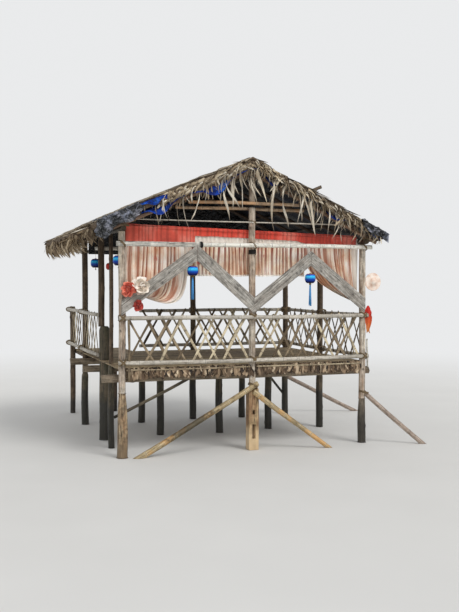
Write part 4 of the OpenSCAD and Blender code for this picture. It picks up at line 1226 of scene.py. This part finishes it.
def hangMats():
    rng = random.Random(21)
    shapes = [leafMesh(mat["length"], mat["leaf"], droop, 0.5, twist, 4) for droop, twist in
              ((0.1, 0.1), (0.35, -0.2), (-0.1, 0.3), (0.5, 0.4))]
    places, battens = [], []
    y, clear, floor = hut["front"] - mat["out"], mat["clear"], hut["floor"]
    for number, (low, high) in enumerate(((hut["left"] + clear, -clear),
                                          (clear, hut["right"] - clear))):
        x = low
        while x < high:
            x += rng.uniform(0.006, 0.02)
            for _ in range(2):
                root = Vector((x + rng.uniform(-0.02, 0.02), y - rng.uniform(0, 0.022),
                               floor - rng.uniform(-0.012, 0.05)))
                aim = Vector((rng.gauss(0, 0.42), rng.uniform(-0.08, 0.03), -1))
                places.append((rng.randrange(4), leafPlace(root, aim, Vector((0, -1, 0)),
                               rng.gauss(0, 0.5), rng.uniform(0.45, 0.98)),
                               shadeNear(rng, 0.42, 0.32)))
        battens.append(flatSlat((low, y - 0.03, floor - 0.03), (high, y - 0.03, floor - 0.034),
                                *mat["batten"], (0, 1, 0), 880 + number, 0.006))
    scatterLeaves("edgeFlaps", shapes, places, [barkLeaf, thatchBody],
                  "floor_edge_mat", cadCopy("floor_edge_mat", 0.06))
    finishPiece("edgeBattens", collect(battens), latticeSplit)


layRidge()
hangMats()
print("ridge and mats done")


# thin printed cotton: soft, matt, stripes woven in, colour bled by sun and damp
def cottonMaterial(name, look):
    material, add, shader = newMaterial(name)
    flat = add("UVMap", uv_map="flat")
    place = add("TexCoord", out="Object")
    parts = add("SeparateXYZ", [flat]).node.outputs
    across, along = parts["X"], parts["Y"]
    wobble = add("TexNoise", {"Vector": place, "Scale": 9.0, "Detail": 2.0})
    run = add("Math", [wobble, look["wander"], across], operation="MULTIPLY_ADD")
    phase = add("Math", [run, look["stripes"]], operation="MULTIPLY")
    saw = add("Math", [phase, 1.0], operation="PINGPONG")
    stripe = add("MapRange", [saw, *look["edge"], look["force"], 0.0])
    # the pleat valleys, where fold is high, take the fold shade colour as painted shade, weaker
    # towards the hem
    fold = add("Attribute", out="Fac", attribute_name="fold")
    deep = add("MapRange", [fold, 0.5, 0.97, 0.0, look["deep"]])
    thin = add("MapRange", [along, 0.05, 0.6, look["low"], 1.0])
    deep = add("Math", [deep, thin], operation="MULTIPLY")
    fade = add("TexNoise", {"Vector": place, "Scale": 2.3, "Detail": 6.0, "Roughness": 0.62})
    base = add("ValToRGB", [fade], stops=zip((0.32, 0.5, 0.68), look["tones"]))
    # each piece of cloth in its own tone along its width; on the valance the darker last stretch is
    # a painted shadow
    if "parts" in look:
        dyed = add("ValToRGB", [across], stops=look["parts"])
        base = add("Mix", {0: 0.58, 6: dyed, 7: base}, **blend)
    colour = add("Mix", {0: stripe, 6: base, 7: look["stripe"]}, **blend)
    colour = add("Mix", {0: deep, 6: colour, 7: look["foldShade"]}, **blend)
    # blots of bled dye in some cells, then the plain bands along the edges
    if "spot" in look:
        cells = add("TexVoronoi", {"Vector": place, "Scale": look["spotScale"],
                                   "Randomness": 1.0}).node.outputs
        ragged = add("Math", [wobble, 0.35, cells["Distance"]], operation="MULTIPLY_ADD")
        spot = add("MapRange", [ragged, 0.26, 0.36, 0.8, 0.0])
        chosen = add("SeparateColor", [cells["Color"]])
        pick = add("Math", [chosen, 0.62], operation="GREATER_THAN")
        spot = add("Math", [spot, pick], operation="MULTIPLY")
        colour = add("Mix", {0: spot, 6: colour, 7: look["spot"]}, **blend)
    pale = look["tones"][2]
    for key, way, wide, low, high, tone in (("band", along, -0.008, 0.0, 0.85, "#fbf3e6"),
                                            ("edging", across, 0.02, 0.0, 0.8, pale),
                                            ("hem", along, 0.01, 0.85, 0.0, pale)):
        if key in look:
            first, last = sorted((look[key], look[key] + wide))
            share = add("MapRange", [way, first, last, low, high])
            colour = add("Mix", {0: share, 6: colour, 7: tone}, **blend)
    # plain weave of 1 mm drawn at 6 mm, because it is far too fine to show
    moved = add("Mapping", {"Vector": flat, "Scale": look["size"] + (1,)})
    warp, weft = (add("TexWave", {"Vector": moved, "Scale": 52.0}, "Fac", bands_direction=way)
                  for way in "XY")
    weave = add("Math", [warp, weft], operation="ADD")
    slub = add("TexNoise", {"Vector": moved, "Scale": 30.0})
    height = add("Math", [slub, 1.5, weave], operation="MULTIPLY_ADD")
    bump = add("Bump", {"Height": height, "Strength": 0.25, "Distance": 0.002})
    fill(shader, {"Base Color": colour, "Roughness": 0.86, "Sheen Weight": 0.15, "Normal": bump})
    return material


# thin cream cloth with fine red lines, rust red in its folds as painted shade
panelCotton = cottonMaterial("cotton voile cream with red lines", {
    "stripes": 61.0, "edge": (0.05, 0.15), "force": 0.95, "wander": 0.004, "deep": 1.0,
    "low": 0.5, "foldShade": "#82341f", "tones": ("#d6a67c", "#f6e2c8", "#fffaf0"),
    "stripe": "#a8331f", "spot": "#c23f30", "spotScale": 3.4, "band": 0.735, "hem": 0.03,
    "size": (2.9, 0.8)})
# wider orange stripes on peach, one edge left plain
drapeCotton = cottonMaterial("cotton voile peach with orange stripes", {
    "stripes": 33.0, "edge": (0.05, 0.18), "force": 0.8, "wander": 0.012, "deep": 0.8,
    "low": 0.8, "foldShade": "#a65a3a", "tones": ("#e6b084", "#fde9d2", "#fffaf0"),
    "stripe": "#c65a34", "spot": "#d24a33", "spotScale": 3.0, "edging": 0.87,
    "size": (1.6, 1.3)})
# rose to red as the sun faded it, turning brown red at the right end as a painted shadow
redCotton = cottonMaterial("cotton dyed red and faded, with a painted shadow at one end", {
    "stripes": 70.0, "edge": (0.0, 0.4), "force": 0.1, "wander": 0.01, "deep": 0.42,
    "low": 0.9, "foldShade": "#7e2a20", "tones": ("#9c3324", "#e0503b", "#f39a86"),
    "stripe": "#a03226", "size": (5.5, 0.3), "parts": [
        (0.0, "#ee7965"), (0.27, "#e9624f"), (0.29, "#f0503d"), (0.66, "#ea4e3d"),
        (0.78, "#a63f35"), (1.0, "#b4483e")]})
print("cloth ready")

# the rod's two heights above the floor
rodLine = {"left": 2.47, "right": 2.325, "length": 4.62}


def rodHeight(x):
    return hut["floor"] + rodLine["left"] \
        + (x - hut["left"]) * (rodLine["right"] - rodLine["left"]) / rodLine["length"]


curtain = {"y": -1.796, "pleat": 0.019, "left": -1.21, "right": 1.08, "hem": 3.15, "pleats": 27}


def hangPanel():
    def rule(u, v):
        x = curtain["left"] + (curtain["right"] - curtain["left"]) * u
        top = rodHeight(x) - 0.012
        fall = 1 - v
        bunch = math.sin(2 * math.pi * (curtain["pleats"] * u + 1.1 * wave(u * 8, 2)
                                        + 0.25 * wave(u * 9 + v * 2, 6)))
        depth = curtain["pleat"] * (0.45 + 0.75 * fall) * (1 + 0.8 * wave(u * 14, 5))
        sway = 0.006 * wave(u * 4 + v * 2, 7)
        z = top + (curtain["hem"] - top) * fall + 0.012 * fall * wave(u * 11, 4)
        return (x + 0.006 * bunch * fall, curtain["y"] + depth * (1 + bunch) + sway, z,
                (1 + bunch) / 2)

    piece = clothGrid("curtainPanel", 324, 20, rule, panelCotton, "curtain_panel")


def bezier(points, t):
    while len(points) > 1:
        points = [a.lerp(b, t) for a, b in zip(points, points[1:])]
    return points[0]


# side curtains, all in x and z: the span on the rod, the tie, the belly that the lower
# edge swings through from one side to the other, and the spread of the gathered end
drapes = {
    "drapeLeft": {"top": (-2.315, -1.19), "tie": (-2.07, 2.87), "belly": (-2.42, 2.86, -1.0, 2.40),
                  "spread": (0.13, -0.16), "pleats": 11, "seed": 3.0},
    "drapeRight": {"top": (1.05, 2.20), "tie": (2.15, 2.64), "belly": (1.24, 3.02, 2.22, 3.0),
                   "spread": (0.05, -0.06), "pleats": 10, "seed": 6.0},
}


def hangDrape(name, node=None):
    look = drapes[name]
    (tieX, tieZ), (wide, tall) = look["tie"], look["spread"]
    x0, z0, x1, z1 = look["belly"]

    def rule(u, v):
        x = look["top"][0] + (look["top"][1] - look["top"][0]) * u
        head = Vector((x, 0, rodHeight(x) - 0.012))
        foot = Vector((tieX, 0, tieZ)) + Vector((wide, 0, tall)) * (u - 0.5)
        first = head + Vector((0, 0, (foot.z - head.z) * 0.5))
        low = Vector((x0 + (x1 - x0) * u, 0, z0 + (z1 - z0) * u))
        point = bezier([head, first, low, low.lerp(foot, 0.5), foot], 1 - v)
        fall = 1 - v
        bunch = math.sin(2 * math.pi * (look["pleats"] * u
                                        + 0.9 * wave(u * 7 + fall * 0.7, look["seed"])))
        depth = (0.016 + 0.030 * math.sin(math.pi * min(1, fall * 0.9))) \
            * (1 + 0.6 * wave(u * 9, look["seed"] + 2))
        return (point.x, curtain["y"] + depth * (1 + bunch) + 0.02 * fall * fall,
                point.z + 0.01 * bunch * fall, (1 + bunch) / 2)

    return clothGrid(name, 200, 46, rule, drapeCotton, node)


# the drop is longer over the left drape, short in the middle and longer at the right
valance = {"y": -1.8185, "pleats": 52, "under": 0.022, "long": 0.275, "short": 0.11,
           "right": 0.075, "frill": 0.040, "pocket": 0.03}


def hangValance():
    def rule(u, v):
        x = hut["left"] + 0.09 + (hut["right"] - hut["left"] - 0.18) * u
        pole = rodHeight(x)
        drop = valance["long"] if x < -1.06 else \
            valance["short"] + valance["right"] * min(1, max(0, (x - 0.9) / 0.35))
        drop += 0.012 * wave(x * 2.6, 8) + 0.004 * wave(x * 21, 3)
        frill = valance["frill"] + 0.005 * wave(x * 13, 5)
        under = valance["under"]
        # the upper half of the rows is the pocket that the rod runs through
        pocket = max(0.0, 2 * v - 1)
        fall = max(0.0, 1 - 2 * v)
        z = pole - under + (under + frill) * pocket - (drop - under) * fall
        bunch = math.sin(2 * math.pi * (valance["pleats"] * u + 1.3 * wave(u * 17, 6)))
        depth = (0.002 + 0.002 * fall) * (1 + 0.6 * wave(u * 25, 1))
        over = valance["pocket"] * math.exp(-((z - pole) / 0.017) ** 4) if v > 0.4 else 0.0
        y = valance["y"] + depth * (1 + bunch) - over - 0.2 * depth * (1 + bunch) * (over > 0.01)
        return (x, y, z, (1 + bunch) / 2)

    piece = clothGrid("redValance", 520, 16, rule, redCotton, "red_valance")


hangPanel()
leftDrape = hangDrape("drapeLeft", "side_drapes")
rightDrape = hangDrape("drapeRight")
hangValance()
print("curtains hung")


# silk stretched on wire: satin gloss, darker between the ribs
def silkMaterial(name, rough, stops):
    material, add, shader = newMaterial(name)
    place = add("TexCoord", out="Object")
    flat = add("UVMap", uv_map="flat")
    # colour runs up the height by the stops, which on the blue lantern paint its shade and
    # highlight
    tone = add("ValToRGB", [add("SeparateXYZ", [flat], "Y")], stops=stops)
    spots = add("TexNoise", {"Vector": place, "Scale": 40.0, "Detail": 4.0})
    worn = add("MapRange", [spots, 0.35, 0.7, 0.82, 1.12])
    colour = add("Mix", {0: 1.0, 6: tone, 7: worn}, **multiply)
    thread = add("Mapping", {"Vector": flat, "Scale": (160, 40, 1)})
    weave = add("TexNoise", {"Vector": thread, "Scale": 1.0})
    bump = add("Bump", {"Height": weave, "Strength": 0.3, "Distance": 0.002})
    fill(shader, {"Base Color": colour, "Roughness": rough, "Specular IOR Level": 0.2,
                  "Normal": bump})
    return material


# deep blue, darker towards the bottom as painted shade, a bright band that is a painted highlight,
# and a red top
blueSilk = silkMaterial("silk stretched blue", 0.25, [
    (0.0, "#02061c"), (0.3, "#041556"), (0.46, "#0a46b4"), (0.6, "#42d0ff"),
    (0.68, "#1d86e6"), (0.77, "#0b3f9e"), (0.81, "#94242c"), (1.0, "#b83a30")])
redSilk = silkMaterial("silk stretched red", 0.4, [
    (0.0, "#6d1813"), (0.5, "#b3332a"), (1.0, "#8a231c")])
# loose floss, soft and nearly matt
fringeSilk = silkMaterial("silk tassel pale blue", 0.6, [
    (0.0, "#5aa2dd"), (0.5, "#6fb2e6"), (1.0, "#3f86c8")])
# thin wire gone dull, with a low warm gloss
brassWire = silkMaterial("brass wire tarnished", 0.4, [(0.0, "#6e5a2c"), (1.0, "#8f7a44")])


# a shell turned from a profile: grid columns go round, rows follow the profile smoothly
def turned(columns, profile, ribs=0, ribDepth=0.0):
    bm = flatGrid(columns, (len(profile) - 1) * 4, "flat")
    for vert in bm.verts:
        angle = (vert.co.x + 0.5) * 2 * math.pi
        along = (vert.co.y + 0.5) * (len(profile) - 1)
        k = min(int(along), len(profile) - 2)
        part = along - k
        before, after = profile[max(k - 1, 0)], profile[min(k + 2, len(profile) - 1)]
        a, b = profile[k], profile[k + 1]
        radius, height = (
            0.5 * (2 * a[n] + (b[n] - before[n]) * part
                   + (2 * before[n] - 5 * a[n] + 4 * b[n] - after[n]) * part ** 2
                   + (3 * a[n] - before[n] - 3 * b[n] + after[n]) * part ** 3) for n in (0, 1))
        radius = max(0.0, radius)
        if ribs:
            radius *= 1 - ribDepth * abs(math.sin(angle * ribs / 2)) ** 0.7 * 0.5
        vert.co = Vector((radius * math.cos(angle), radius * math.sin(angle), height))
    bmesh.ops.remove_doubles(bm, verts=bm.verts, dist=0.0001)
    bmesh.ops.recalc_face_normals(bm, faces=bm.faces)
    return bm


def rod(start, stop, radius, sides=6):
    start, stop = Vector(start), Vector(stop)
    bm = bmesh.new()
    bmesh.ops.create_cone(bm, cap_ends=True, segments=sides, radius1=radius, radius2=radius,
                          depth=(stop - start).length, calc_uvs=False)
    bm.loops.layers.uv.new("flat")
    turn = (stop - start).to_track_quat("Z", "Y").to_matrix().to_4x4()
    return toMesh(bm, Matrix.Translation((start + stop) / 2) @ turn)


# the body's profile as shares of its width and half height; hoops as height and radius
lantern = {"body": ((0.20, -1), (0.33, -0.96), (0.46, -0.6), (0.5, 0), (0.46, 0.6),
                    (0.33, 0.96), (0.16, 1)),
           "ribs": 12, "ribDepth": 0.09, "flat": 0.42, "small": 0.17,
           "hoops": ((0.99, 0.3), (-0.99, 0.3), (1.12, 0.1)), "tassel": 54, "tuft": 16}


def hangLanterns():
    silk, red, wires, tails = [], [], [], []
    rng = random.Random(14)
    for points in solidsOf("lanterns"):
        low, high = points.min(0), points.max(0)
        size = high[0] - low[0]
        half = size * lantern["flat"]
        x, y = (low[0] + high[0]) / 2, (low[1] + high[1]) / 2
        # the widest ring of the solid gives the height of the body's middle
        z = float(points[np.abs(np.hypot(points[:, 0] - x, points[:, 1] - y)
                                - size / 2) < 0.004][:, 2].mean())
        place = Matrix.Translation((x, y, z))
        body = turned(48, [(size * wide, half * level) for wide, level in lantern["body"]],
                      lantern["ribs"], lantern["ribDepth"])
        (red if size < lantern["small"] else silk).append(toMesh(body, place))
        for level, wide in lantern["hoops"]:
            level, wide = half * level, size * wide
            wires.append(toMesh(turned(24, [(wide - 0.003, level - 0.004), (wide + 0.004, level),
                                            (wide - 0.003, level + 0.004)]), place))
        wires.append(rod((x, y, z + half), (x, y, high[2] + 0.002), 0.0022))
        base = z - half
        if z - low[2] > 0.3:
            knob = turned(16, [(0.0, -0.035), (0.018, -0.03), (0.022, -0.012), (0.012, 0.0)])
            wires.append(toMesh(knob, Matrix.Translation((x, y, base))))
            for _ in range(lantern["tassel"]):
                turn, out = rng.uniform(0, 6.28), rng.uniform(0.2, 1.0)
                reach = (base - low[2]) * rng.uniform(0.86, 1.0)
                side = Vector((math.cos(turn), math.sin(turn), 0)) * out
                tails.append(rod(Vector((x, y, base - 0.03)) + side * 0.012,
                                 Vector((x, y, base - reach)) + side * size * 0.13, 0.0032, 4))
        else:
            for _ in range(lantern["tuft"]):
                turn = rng.uniform(0, 6.28)
                top = Vector((x, y, base))
                end = top + Vector((0.012 * math.cos(turn), 0.012 * math.sin(turn), -0.05))
                wires.append(rod(top, end, 0.002, 4))
    for name, meshes, material, node in (("lanternSilk", silk, blueSilk, "lanterns"),
                                         ("lanternRed", red, redSilk, None),
                                         ("lanternWire", wires, brassWire, None),
                                         ("lanternTassels", tails, fringeSilk, None)):
        finishPiece(name, collect(meshes), material, node)


hangLanterns()
print("lanterns hung")


# dyed cotton crushed or torn: mottled, deep folds darker than the crests as painted shade
def dyedMaterial(name, stops, scale=26.0, detail=5.0, share=0.5, rough=0.82, sheen=0.2,
                 relief=0.006):
    material, add, shader = newMaterial(name)
    place = add("TexCoord", out="Object")
    out = add("SeparateXYZ", [add("UVMap", uv_map="flat")], "Y")
    mottle = add("TexNoise", {"Vector": place, "Scale": scale, "Detail": detail})
    mixed = add("Math", [mottle, share, out], operation="MULTIPLY_ADD")
    tone = add("ValToRGB", [mixed], stops=stops)
    bump = add("Bump", {"Height": mottle, "Strength": 0.4, "Distance": relief})
    fill(shader, {"Base Color": tone, "Roughness": rough, "Sheen Weight": sheen,
                  "Normal": bump})
    return material


creamBunch = dyedMaterial("cotton voile gathered cream", [
    (0.2, "#d39a80"), (0.5, "#efdac4"), (0.9, "#faf1e4")])
orangeBunch = dyedMaterial("cotton gathered orange red", [
    (0.2, "#9c2a1c"), (0.6, "#d2543a"), (1.0, "#e8836a")])
redBunch = dyedMaterial("cotton gathered red", [
    (0.2, "#6f1a15"), (0.6, "#b7342b"), (1.0, "#d65a4a")])
# the torn strip is red, and orange where the sun reached it
ribbonCotton = dyedMaterial("cotton ribbon red fading to orange", [
    (0.2, "#c98a4e"), (0.55, "#d2602f"), (0.85, "#c4281d")],
    scale=30.0, detail=3.0, share=0.3, rough=0.8, sheen=0.0, relief=0.003)

# rings of petals, from the heart out: how far each leans, and how many
petalRings = ((0.15, 4), (0.55, 7), (0.95, 10), (1.3, 13), (1.5, 13))


def rosette(name, centre, normal, radius, material, seed, hanging, node):
    rng = random.Random(seed)
    normal = Vector(normal).normalized()
    side = normal.cross(Vector((0, 0, 1))).normalized()
    over = side.cross(normal)
    petals = [leafMesh(1.0, wide, droop, curl, twist, 6, sheet="flat")
              for wide, droop, curl, twist in (
                  (1.0, -1.1, -1.0, 0.2), (0.8, -0.7, -1.3, -0.4), (1.15, -1.4, -0.7, 0.5),
                  (0.9, 0.6, -1.1, 0.0))]
    places = []
    for ring, (tilt, count) in enumerate(petalRings):
        for number in range(count):
            turn = 6.283 * (number + rng.uniform(-0.3, 0.3)) / count + ring
            lean = tilt + rng.gauss(0, 0.22)
            out = side * math.cos(turn) + over * math.sin(turn)
            aim = normal * math.cos(lean) + out * math.sin(lean)
            root = centre + normal * 0.012 + out * radius * 0.05 * ring
            size = radius * (0.42 + 0.115 * ring) * rng.uniform(0.85, 1.15)
            places.append((rng.randrange(4), leafPlace(root, aim, normal + out * -0.4,
                           rng.gauss(0, 0.5), size), 0.5))
    for _ in range(hanging):
        aim = Vector((rng.gauss(0, 0.25), -rng.uniform(0.05, 0.3), -1))
        places.append((rng.randrange(4), leafPlace(centre + normal * 0.02, aim, normal,
                       rng.gauss(0, 0.6), radius * rng.uniform(0.9, 1.35)), 0.5))
    scatterLeaves(name, petals, places, material, node)


# from left to right: cloth, size against the solid, hanging ends and shift
rosettes = {"flowerOrange": (orangeBunch, 1.05, 3, (0, 0, 0)),
            "flowerRed": (redBunch, 0.95, 12, (0, 0, 0)),
            "knotCream": (creamBunch, 1.32, 7, (-0.035, 0, 0.02))}


def pinRosettes():
    bunches = sorted(solidsOf("curtain_rosettes"), key=lambda p: p[:, 0].mean())
    for number, (points, (name, look)) in enumerate(zip(bunches, rosettes.items())):
        material, size, hanging, shift = look
        low, high = points.min(0), points.max(0)
        centre = Vector(((low[0] + high[0]) / 2, high[1] - 0.002, (low[2] + high[2]) / 2))
        rosette(name, centre + Vector(shift), (0, -1, 0.06), (high[0] - low[0]) / 2 * size,
                material, 40 + number, hanging, None if number else "curtain_rosettes")


pinRosettes()


# plaited straw: rings of braid, each a little ridge
def strawMaterial():
    material, add, shader = newMaterial("rice straw plaited in rings")
    flat = add("UVMap", uv_map="flat")
    place = add("TexCoord", out="Object")
    rings = add("Math", [add("SeparateXYZ", [flat], "Y"), 26.0], operation="MULTIPLY")
    ring = add("Math", [rings, 1.0], operation="PINGPONG")
    braid = add("Mapping", {"Vector": flat, "Scale": (120, 26, 1)})
    strands = add("TexVoronoi", {"Vector": braid, "Scale": 1.0})
    blotch = add("TexNoise", {"Vector": place, "Scale": 11.0, "Detail": 5.0})
    tone = add("ValToRGB", [blotch], stops=[(0.3, "#dcb59e"), (0.5, "#f1dccb"),
                                            (0.7, "#fdf6ec")])
    dark = add("MapRange", [ring, 0.0, 0.35, 0.76, 1.06])
    colour = add("Mix", {0: 1.0, 6: tone, 7: dark}, **multiply)
    height = add("Math", [strands, 0.4, ring], operation="MULTIPLY_ADD")
    bump = add("Bump", {"Height": height, "Strength": 0.7, "Distance": 0.003})
    fill(shader, {"Base Color": colour, "Roughness": 0.7, "Normal": bump})
    return material


# a low crown on a wide brim, with a ridge at each ring of braid
hat = {"crown": 0.075, "spread": 0.42, "brim": 0.004, "ridge": 0.0015, "rings": 14}


def makeHat():
    low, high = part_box("straw_hat")
    radius = (high.x - low.x) / 2
    profile = [(0.0, 0.078)]
    for k in range(1, hat["rings"] + 1):
        r = radius * k / hat["rings"]
        crown = hat["crown"] * math.exp(-(r / (radius * hat["spread"])) ** 2.4)
        profile.append((r, crown + hat["brim"] + hat["ridge"] * (k % 2)))
    profile += [(radius * 1.005, 0.002), (radius * 0.985, 0.0), (radius * 0.5, 0.0005),
                (0.0, 0.001)]
    bm = turned(72, profile)
    turn = Matrix.Rotation(math.pi / 2, 4, "X")
    centre = ((low.x + high.x) / 2, high.y, (low.z + high.z) / 2)
    bmesh.ops.transform(bm, matrix=Matrix.Translation(centre) @ turn, verts=bm.verts)
    finishPiece("strawHat", bm, strawMaterial(), "straw_hat")


makeHat()

# widths at the torn end and, below the knot, at its widest
ribbon = {"end": 0.062, "wider": 0.063, "gather": 0.72, "knot": 0.22, "crease": 0.011,
          "notch": 0.05}


def hangRibbon():
    low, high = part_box("ribbon")
    middle = (low.x + high.x) / 2

    def rule(u, v):
        knot = max(0.0, (v - 1 + ribbon["knot"]) / ribbon["knot"]) ** 1.5
        width = (ribbon["end"] + ribbon["wider"] * min(1, max(0, v - 0.15) / 0.4)) \
            * (1 + 0.2 * wave(v * 9, 2))
        width *= 1 - ribbon["gather"] * knot
        twist = 1.1 * wave(v * 3.2, 4)
        side = (u - 0.5) * width
        x = middle + side * math.cos(twist - 0.3) + 0.012 * wave(v * 5, 6) \
            - knot * (middle - hut["right"] - hut["postRadius"] - 0.012)
        crease = math.sin(2 * math.pi * (1.6 * u + 0.5 * wave(v * 2.2, 3)))
        y = (low.y + high.y) / 2 + side * math.sin(twist - 0.3) \
            + ribbon["crease"] * crease * (1 - 0.6 * knot)
        notch = ribbon["notch"] * (1 - abs(2 * u - 1)) * math.exp(-v / 0.07)
        return (x, y, low.z + (high.z - low.z) * v + notch)

    piece = clothGrid("redRibbon", 24, 50, rule, ribbonCotton, "ribbon")


hangRibbon()
print("hat and ribbon done")


# coir rope, hairy and brown; the black one is tarred
def ropeMaterial(name, light, dark):
    material, add, shader = newMaterial(name)
    place = add("TexCoord", out="Object")
    strands = add("TexWave", {"Vector": place, "Scale": 60.0, "Distortion": 3.0, "Detail": 2.0},
                  "Fac", bands_direction="DIAGONAL")
    tone = add("ValToRGB", [strands], stops=[(0.2, dark), (0.8, light)])
    bump = add("Bump", {"Height": strands, "Strength": 0.8, "Distance": 0.003})
    fill(shader, {"Base Color": tone, "Roughness": 0.9, "Normal": bump})
    return material


coirRope = ropeMaterial("coir rope laid", "#9a8462", "#4f3f2b")
tarredRope = ropeMaterial("coir rope tarred", "#2b2724", "#0e0c0b")


# turns of rope: a small circle spun round an axis, squeezed to the shape it binds
def lashing(centre, across, deep, turns, thick, tilt, face=0.0):
    bm = bmesh.new()
    steps = 20
    ring = bmesh.ops.create_circle(bm, segments=6, radius=thick)
    bmesh.ops.rotate(bm, verts=ring["verts"], matrix=Matrix.Rotation(math.pi / 2, 3, "X"))
    bmesh.ops.translate(bm, verts=ring["verts"], vec=(1.0, 0, -turns * thick))
    bmesh.ops.spin(bm, geom=bm.edges[:], cent=(0, 0, 0), axis=(0, 0, 1),
                   angle=2 * math.pi * turns, steps=steps * turns, dvec=(0, 0, 2.0 * thick / steps))
    for vert in bm.verts:
        out = math.hypot(vert.co.x, vert.co.y)
        extra = out - 1.0
        x, y = vert.co.x / out, vert.co.y / out
        vert.co.x, vert.co.y = x * (across + extra), y * (deep + extra)
    bmesh.ops.holes_fill(bm, edges=bm.edges, sides=8)
    bmesh.ops.recalc_face_normals(bm, faces=bm.faces)
    turn = Matrix.Rotation(face, 4, "Z") @ Matrix.Rotation(tilt, 4, "Y")
    return toMesh(bm, Matrix.Translation(centre) @ turn)


# the thin pole across the gable lies behind both front rafters, this far above the tie
gable = {"over": 0.42, "ends": 0.07, "radii": (0.011, 0.013)}


def gableEnds():
    z = hut["tie"] + gable["over"]
    ends = []
    for (start, stop), radii in sorted(poleLines["rafters"], key=lambda line: line[0][0].y)[:2]:
        at = start.lerp(stop, (z - start.z) / (stop.z - start.z))
        ends.append(at + Vector((0, radii[0] + 0.009, 0)))
    return sorted(ends, key=lambda at: at.x)


# rails are bound to posts by two crossed lashings: half sizes, turns and rope radius
binding = {"rail": (0.078, 0.108, 3, 0.0055), "tie": (0.076, 0.108, 3, 0.006), "tilt": 0.72}


def tieLashings():
    coir, tarred = [], []
    front, rear, left, right = hut["front"], hut["rear"], hut["left"], hut["right"]
    posts = [(x, front - 0.037, 0) for x in (left, 0.0, right)] \
        + [(x, rear + 0.037, 0) for x in (0.0, right)] \
        + [(right + 0.037, y, math.pi / 2) for y in (0.0, rear)] \
        + [(left - 0.037, y, math.pi / 2) for y in (rear, hut["far"] - 0.15)]
    for z in (hut["floor"] + 0.87, hut["floor"] + 0.10):
        for x, y, face in posts:
            for tilt in (binding["tilt"], -binding["tilt"]):
                coir.append(lashing((x, y, z), *binding["rail"], tilt, face))
    for x in (left, 0.0, right):
        for y, tilt in ((front - 0.035, 0.8), (rear + 0.035, -0.8)):
            coir.append(lashing((x, y, hut["tie"]), *binding["tie"], tilt))
    tarred.append(lashing((0.0, front, hut["tie"] - 0.115), 0.064, 0.064, 5, 0.008, 0.0))
    tarred.append(lashing((0.0, front, hut["apex"] - 0.58), 0.064, 0.075, 4, 0.006, 0.1))
    tarred.append(lashing((-1.0, front - 0.1, hut["tie"]), 0.05, 0.046, 4, 0.006, math.pi / 2))
    for side, at in zip((-1, 1), gableEnds()):
        coir.append(lashing((at.x, at.y - 0.026, at.z), 0.042, 0.054, 4, 0.005,
                            math.pi / 2 + side * 0.2))
    # the pole on the middle post, the braces on their stilts, the rafters on the plates
    coir.append(lashing((0.0, front - 0.036, hut["tie"] + 0.415), 0.068, 0.1, 3, 0.005, 0.35))
    coir.append(lashing((0.0, front - 0.04, 1.17), 0.085, 0.13, 3, 0.007, 0.5))
    coir.append(lashing((right + 0.03, front - 0.02, 0.955), 0.09, 0.09, 3, 0.007, 0.3))
    for (start, stop), _ in poleLines["rafters"]:
        x = left if min(start, stop, key=lambda end: end.z).x < 0 else right
        at = start.lerp(stop, (x - start.x) / (stop.x - start.x))
        coir.append(lashing((at.x, at.y, at.z - 0.035), 0.09, 0.05, 2, 0.005, 0.1))
    finishPiece("coirLashings", collect(coir), coirRope)
    finishPiece("tarredLashings", collect(tarred), tarredRope)


tieLashings()
print("lashings tied")


# the stick and the batten by the front posts, the pin by the ridge, the gable's pole
def leanSticks():
    front, left, right = hut["front"], hut["left"], hut["right"]
    stick = grownPole([Vector((right + 0.076, front - 0.055, 1.97)),
                       Vector((right + 0.205, front + 0.14, 1.32))],
                      [0.015, 0.019], {"bend": 0.014, "lumps": 0.14, "sides": 8, "knots": 3}, 991)
    batten = flatSlat((left + 0.105, front - 0.108, 1.33), (left + 0.098, front - 0.108, 2.40),
                      0.042, 0.014, (0, 1, 0), 993, 0.006)
    foot = slopePoint(1, 1.09, 0.16, -2.12)
    pin = grownPole([foot, foot + Vector((0.30, -0.03, 0.13))], [0.025, 0.03],
                    {"bend": 0.004, "lumps": 0.12, "sides": 9}, 992)
    start, stop = gableEnds()
    pole = grownPole([start - Vector((gable["ends"], 0, 0)),
                      stop + Vector((gable["ends"], 0, -0.01))], list(gable["radii"]),
                     {"bend": 0.001, "lumps": 0.06, "joint": 0.1, "sides": 8}, 994)
    for name, mesh, material, slot in (("gablePole", pole, greyBamboo, "rail_bamboo"),
                                       ("leaningStick", stick, paleBamboo, "rail_bamboo"),
                                       ("cornerBatten", batten, latticeSplit, "lattice_slat"),
                                       ("ridgePin", pin, shadeLog, "dark_log")):
        finishPiece(name, collect([mesh]), material)


leanSticks()
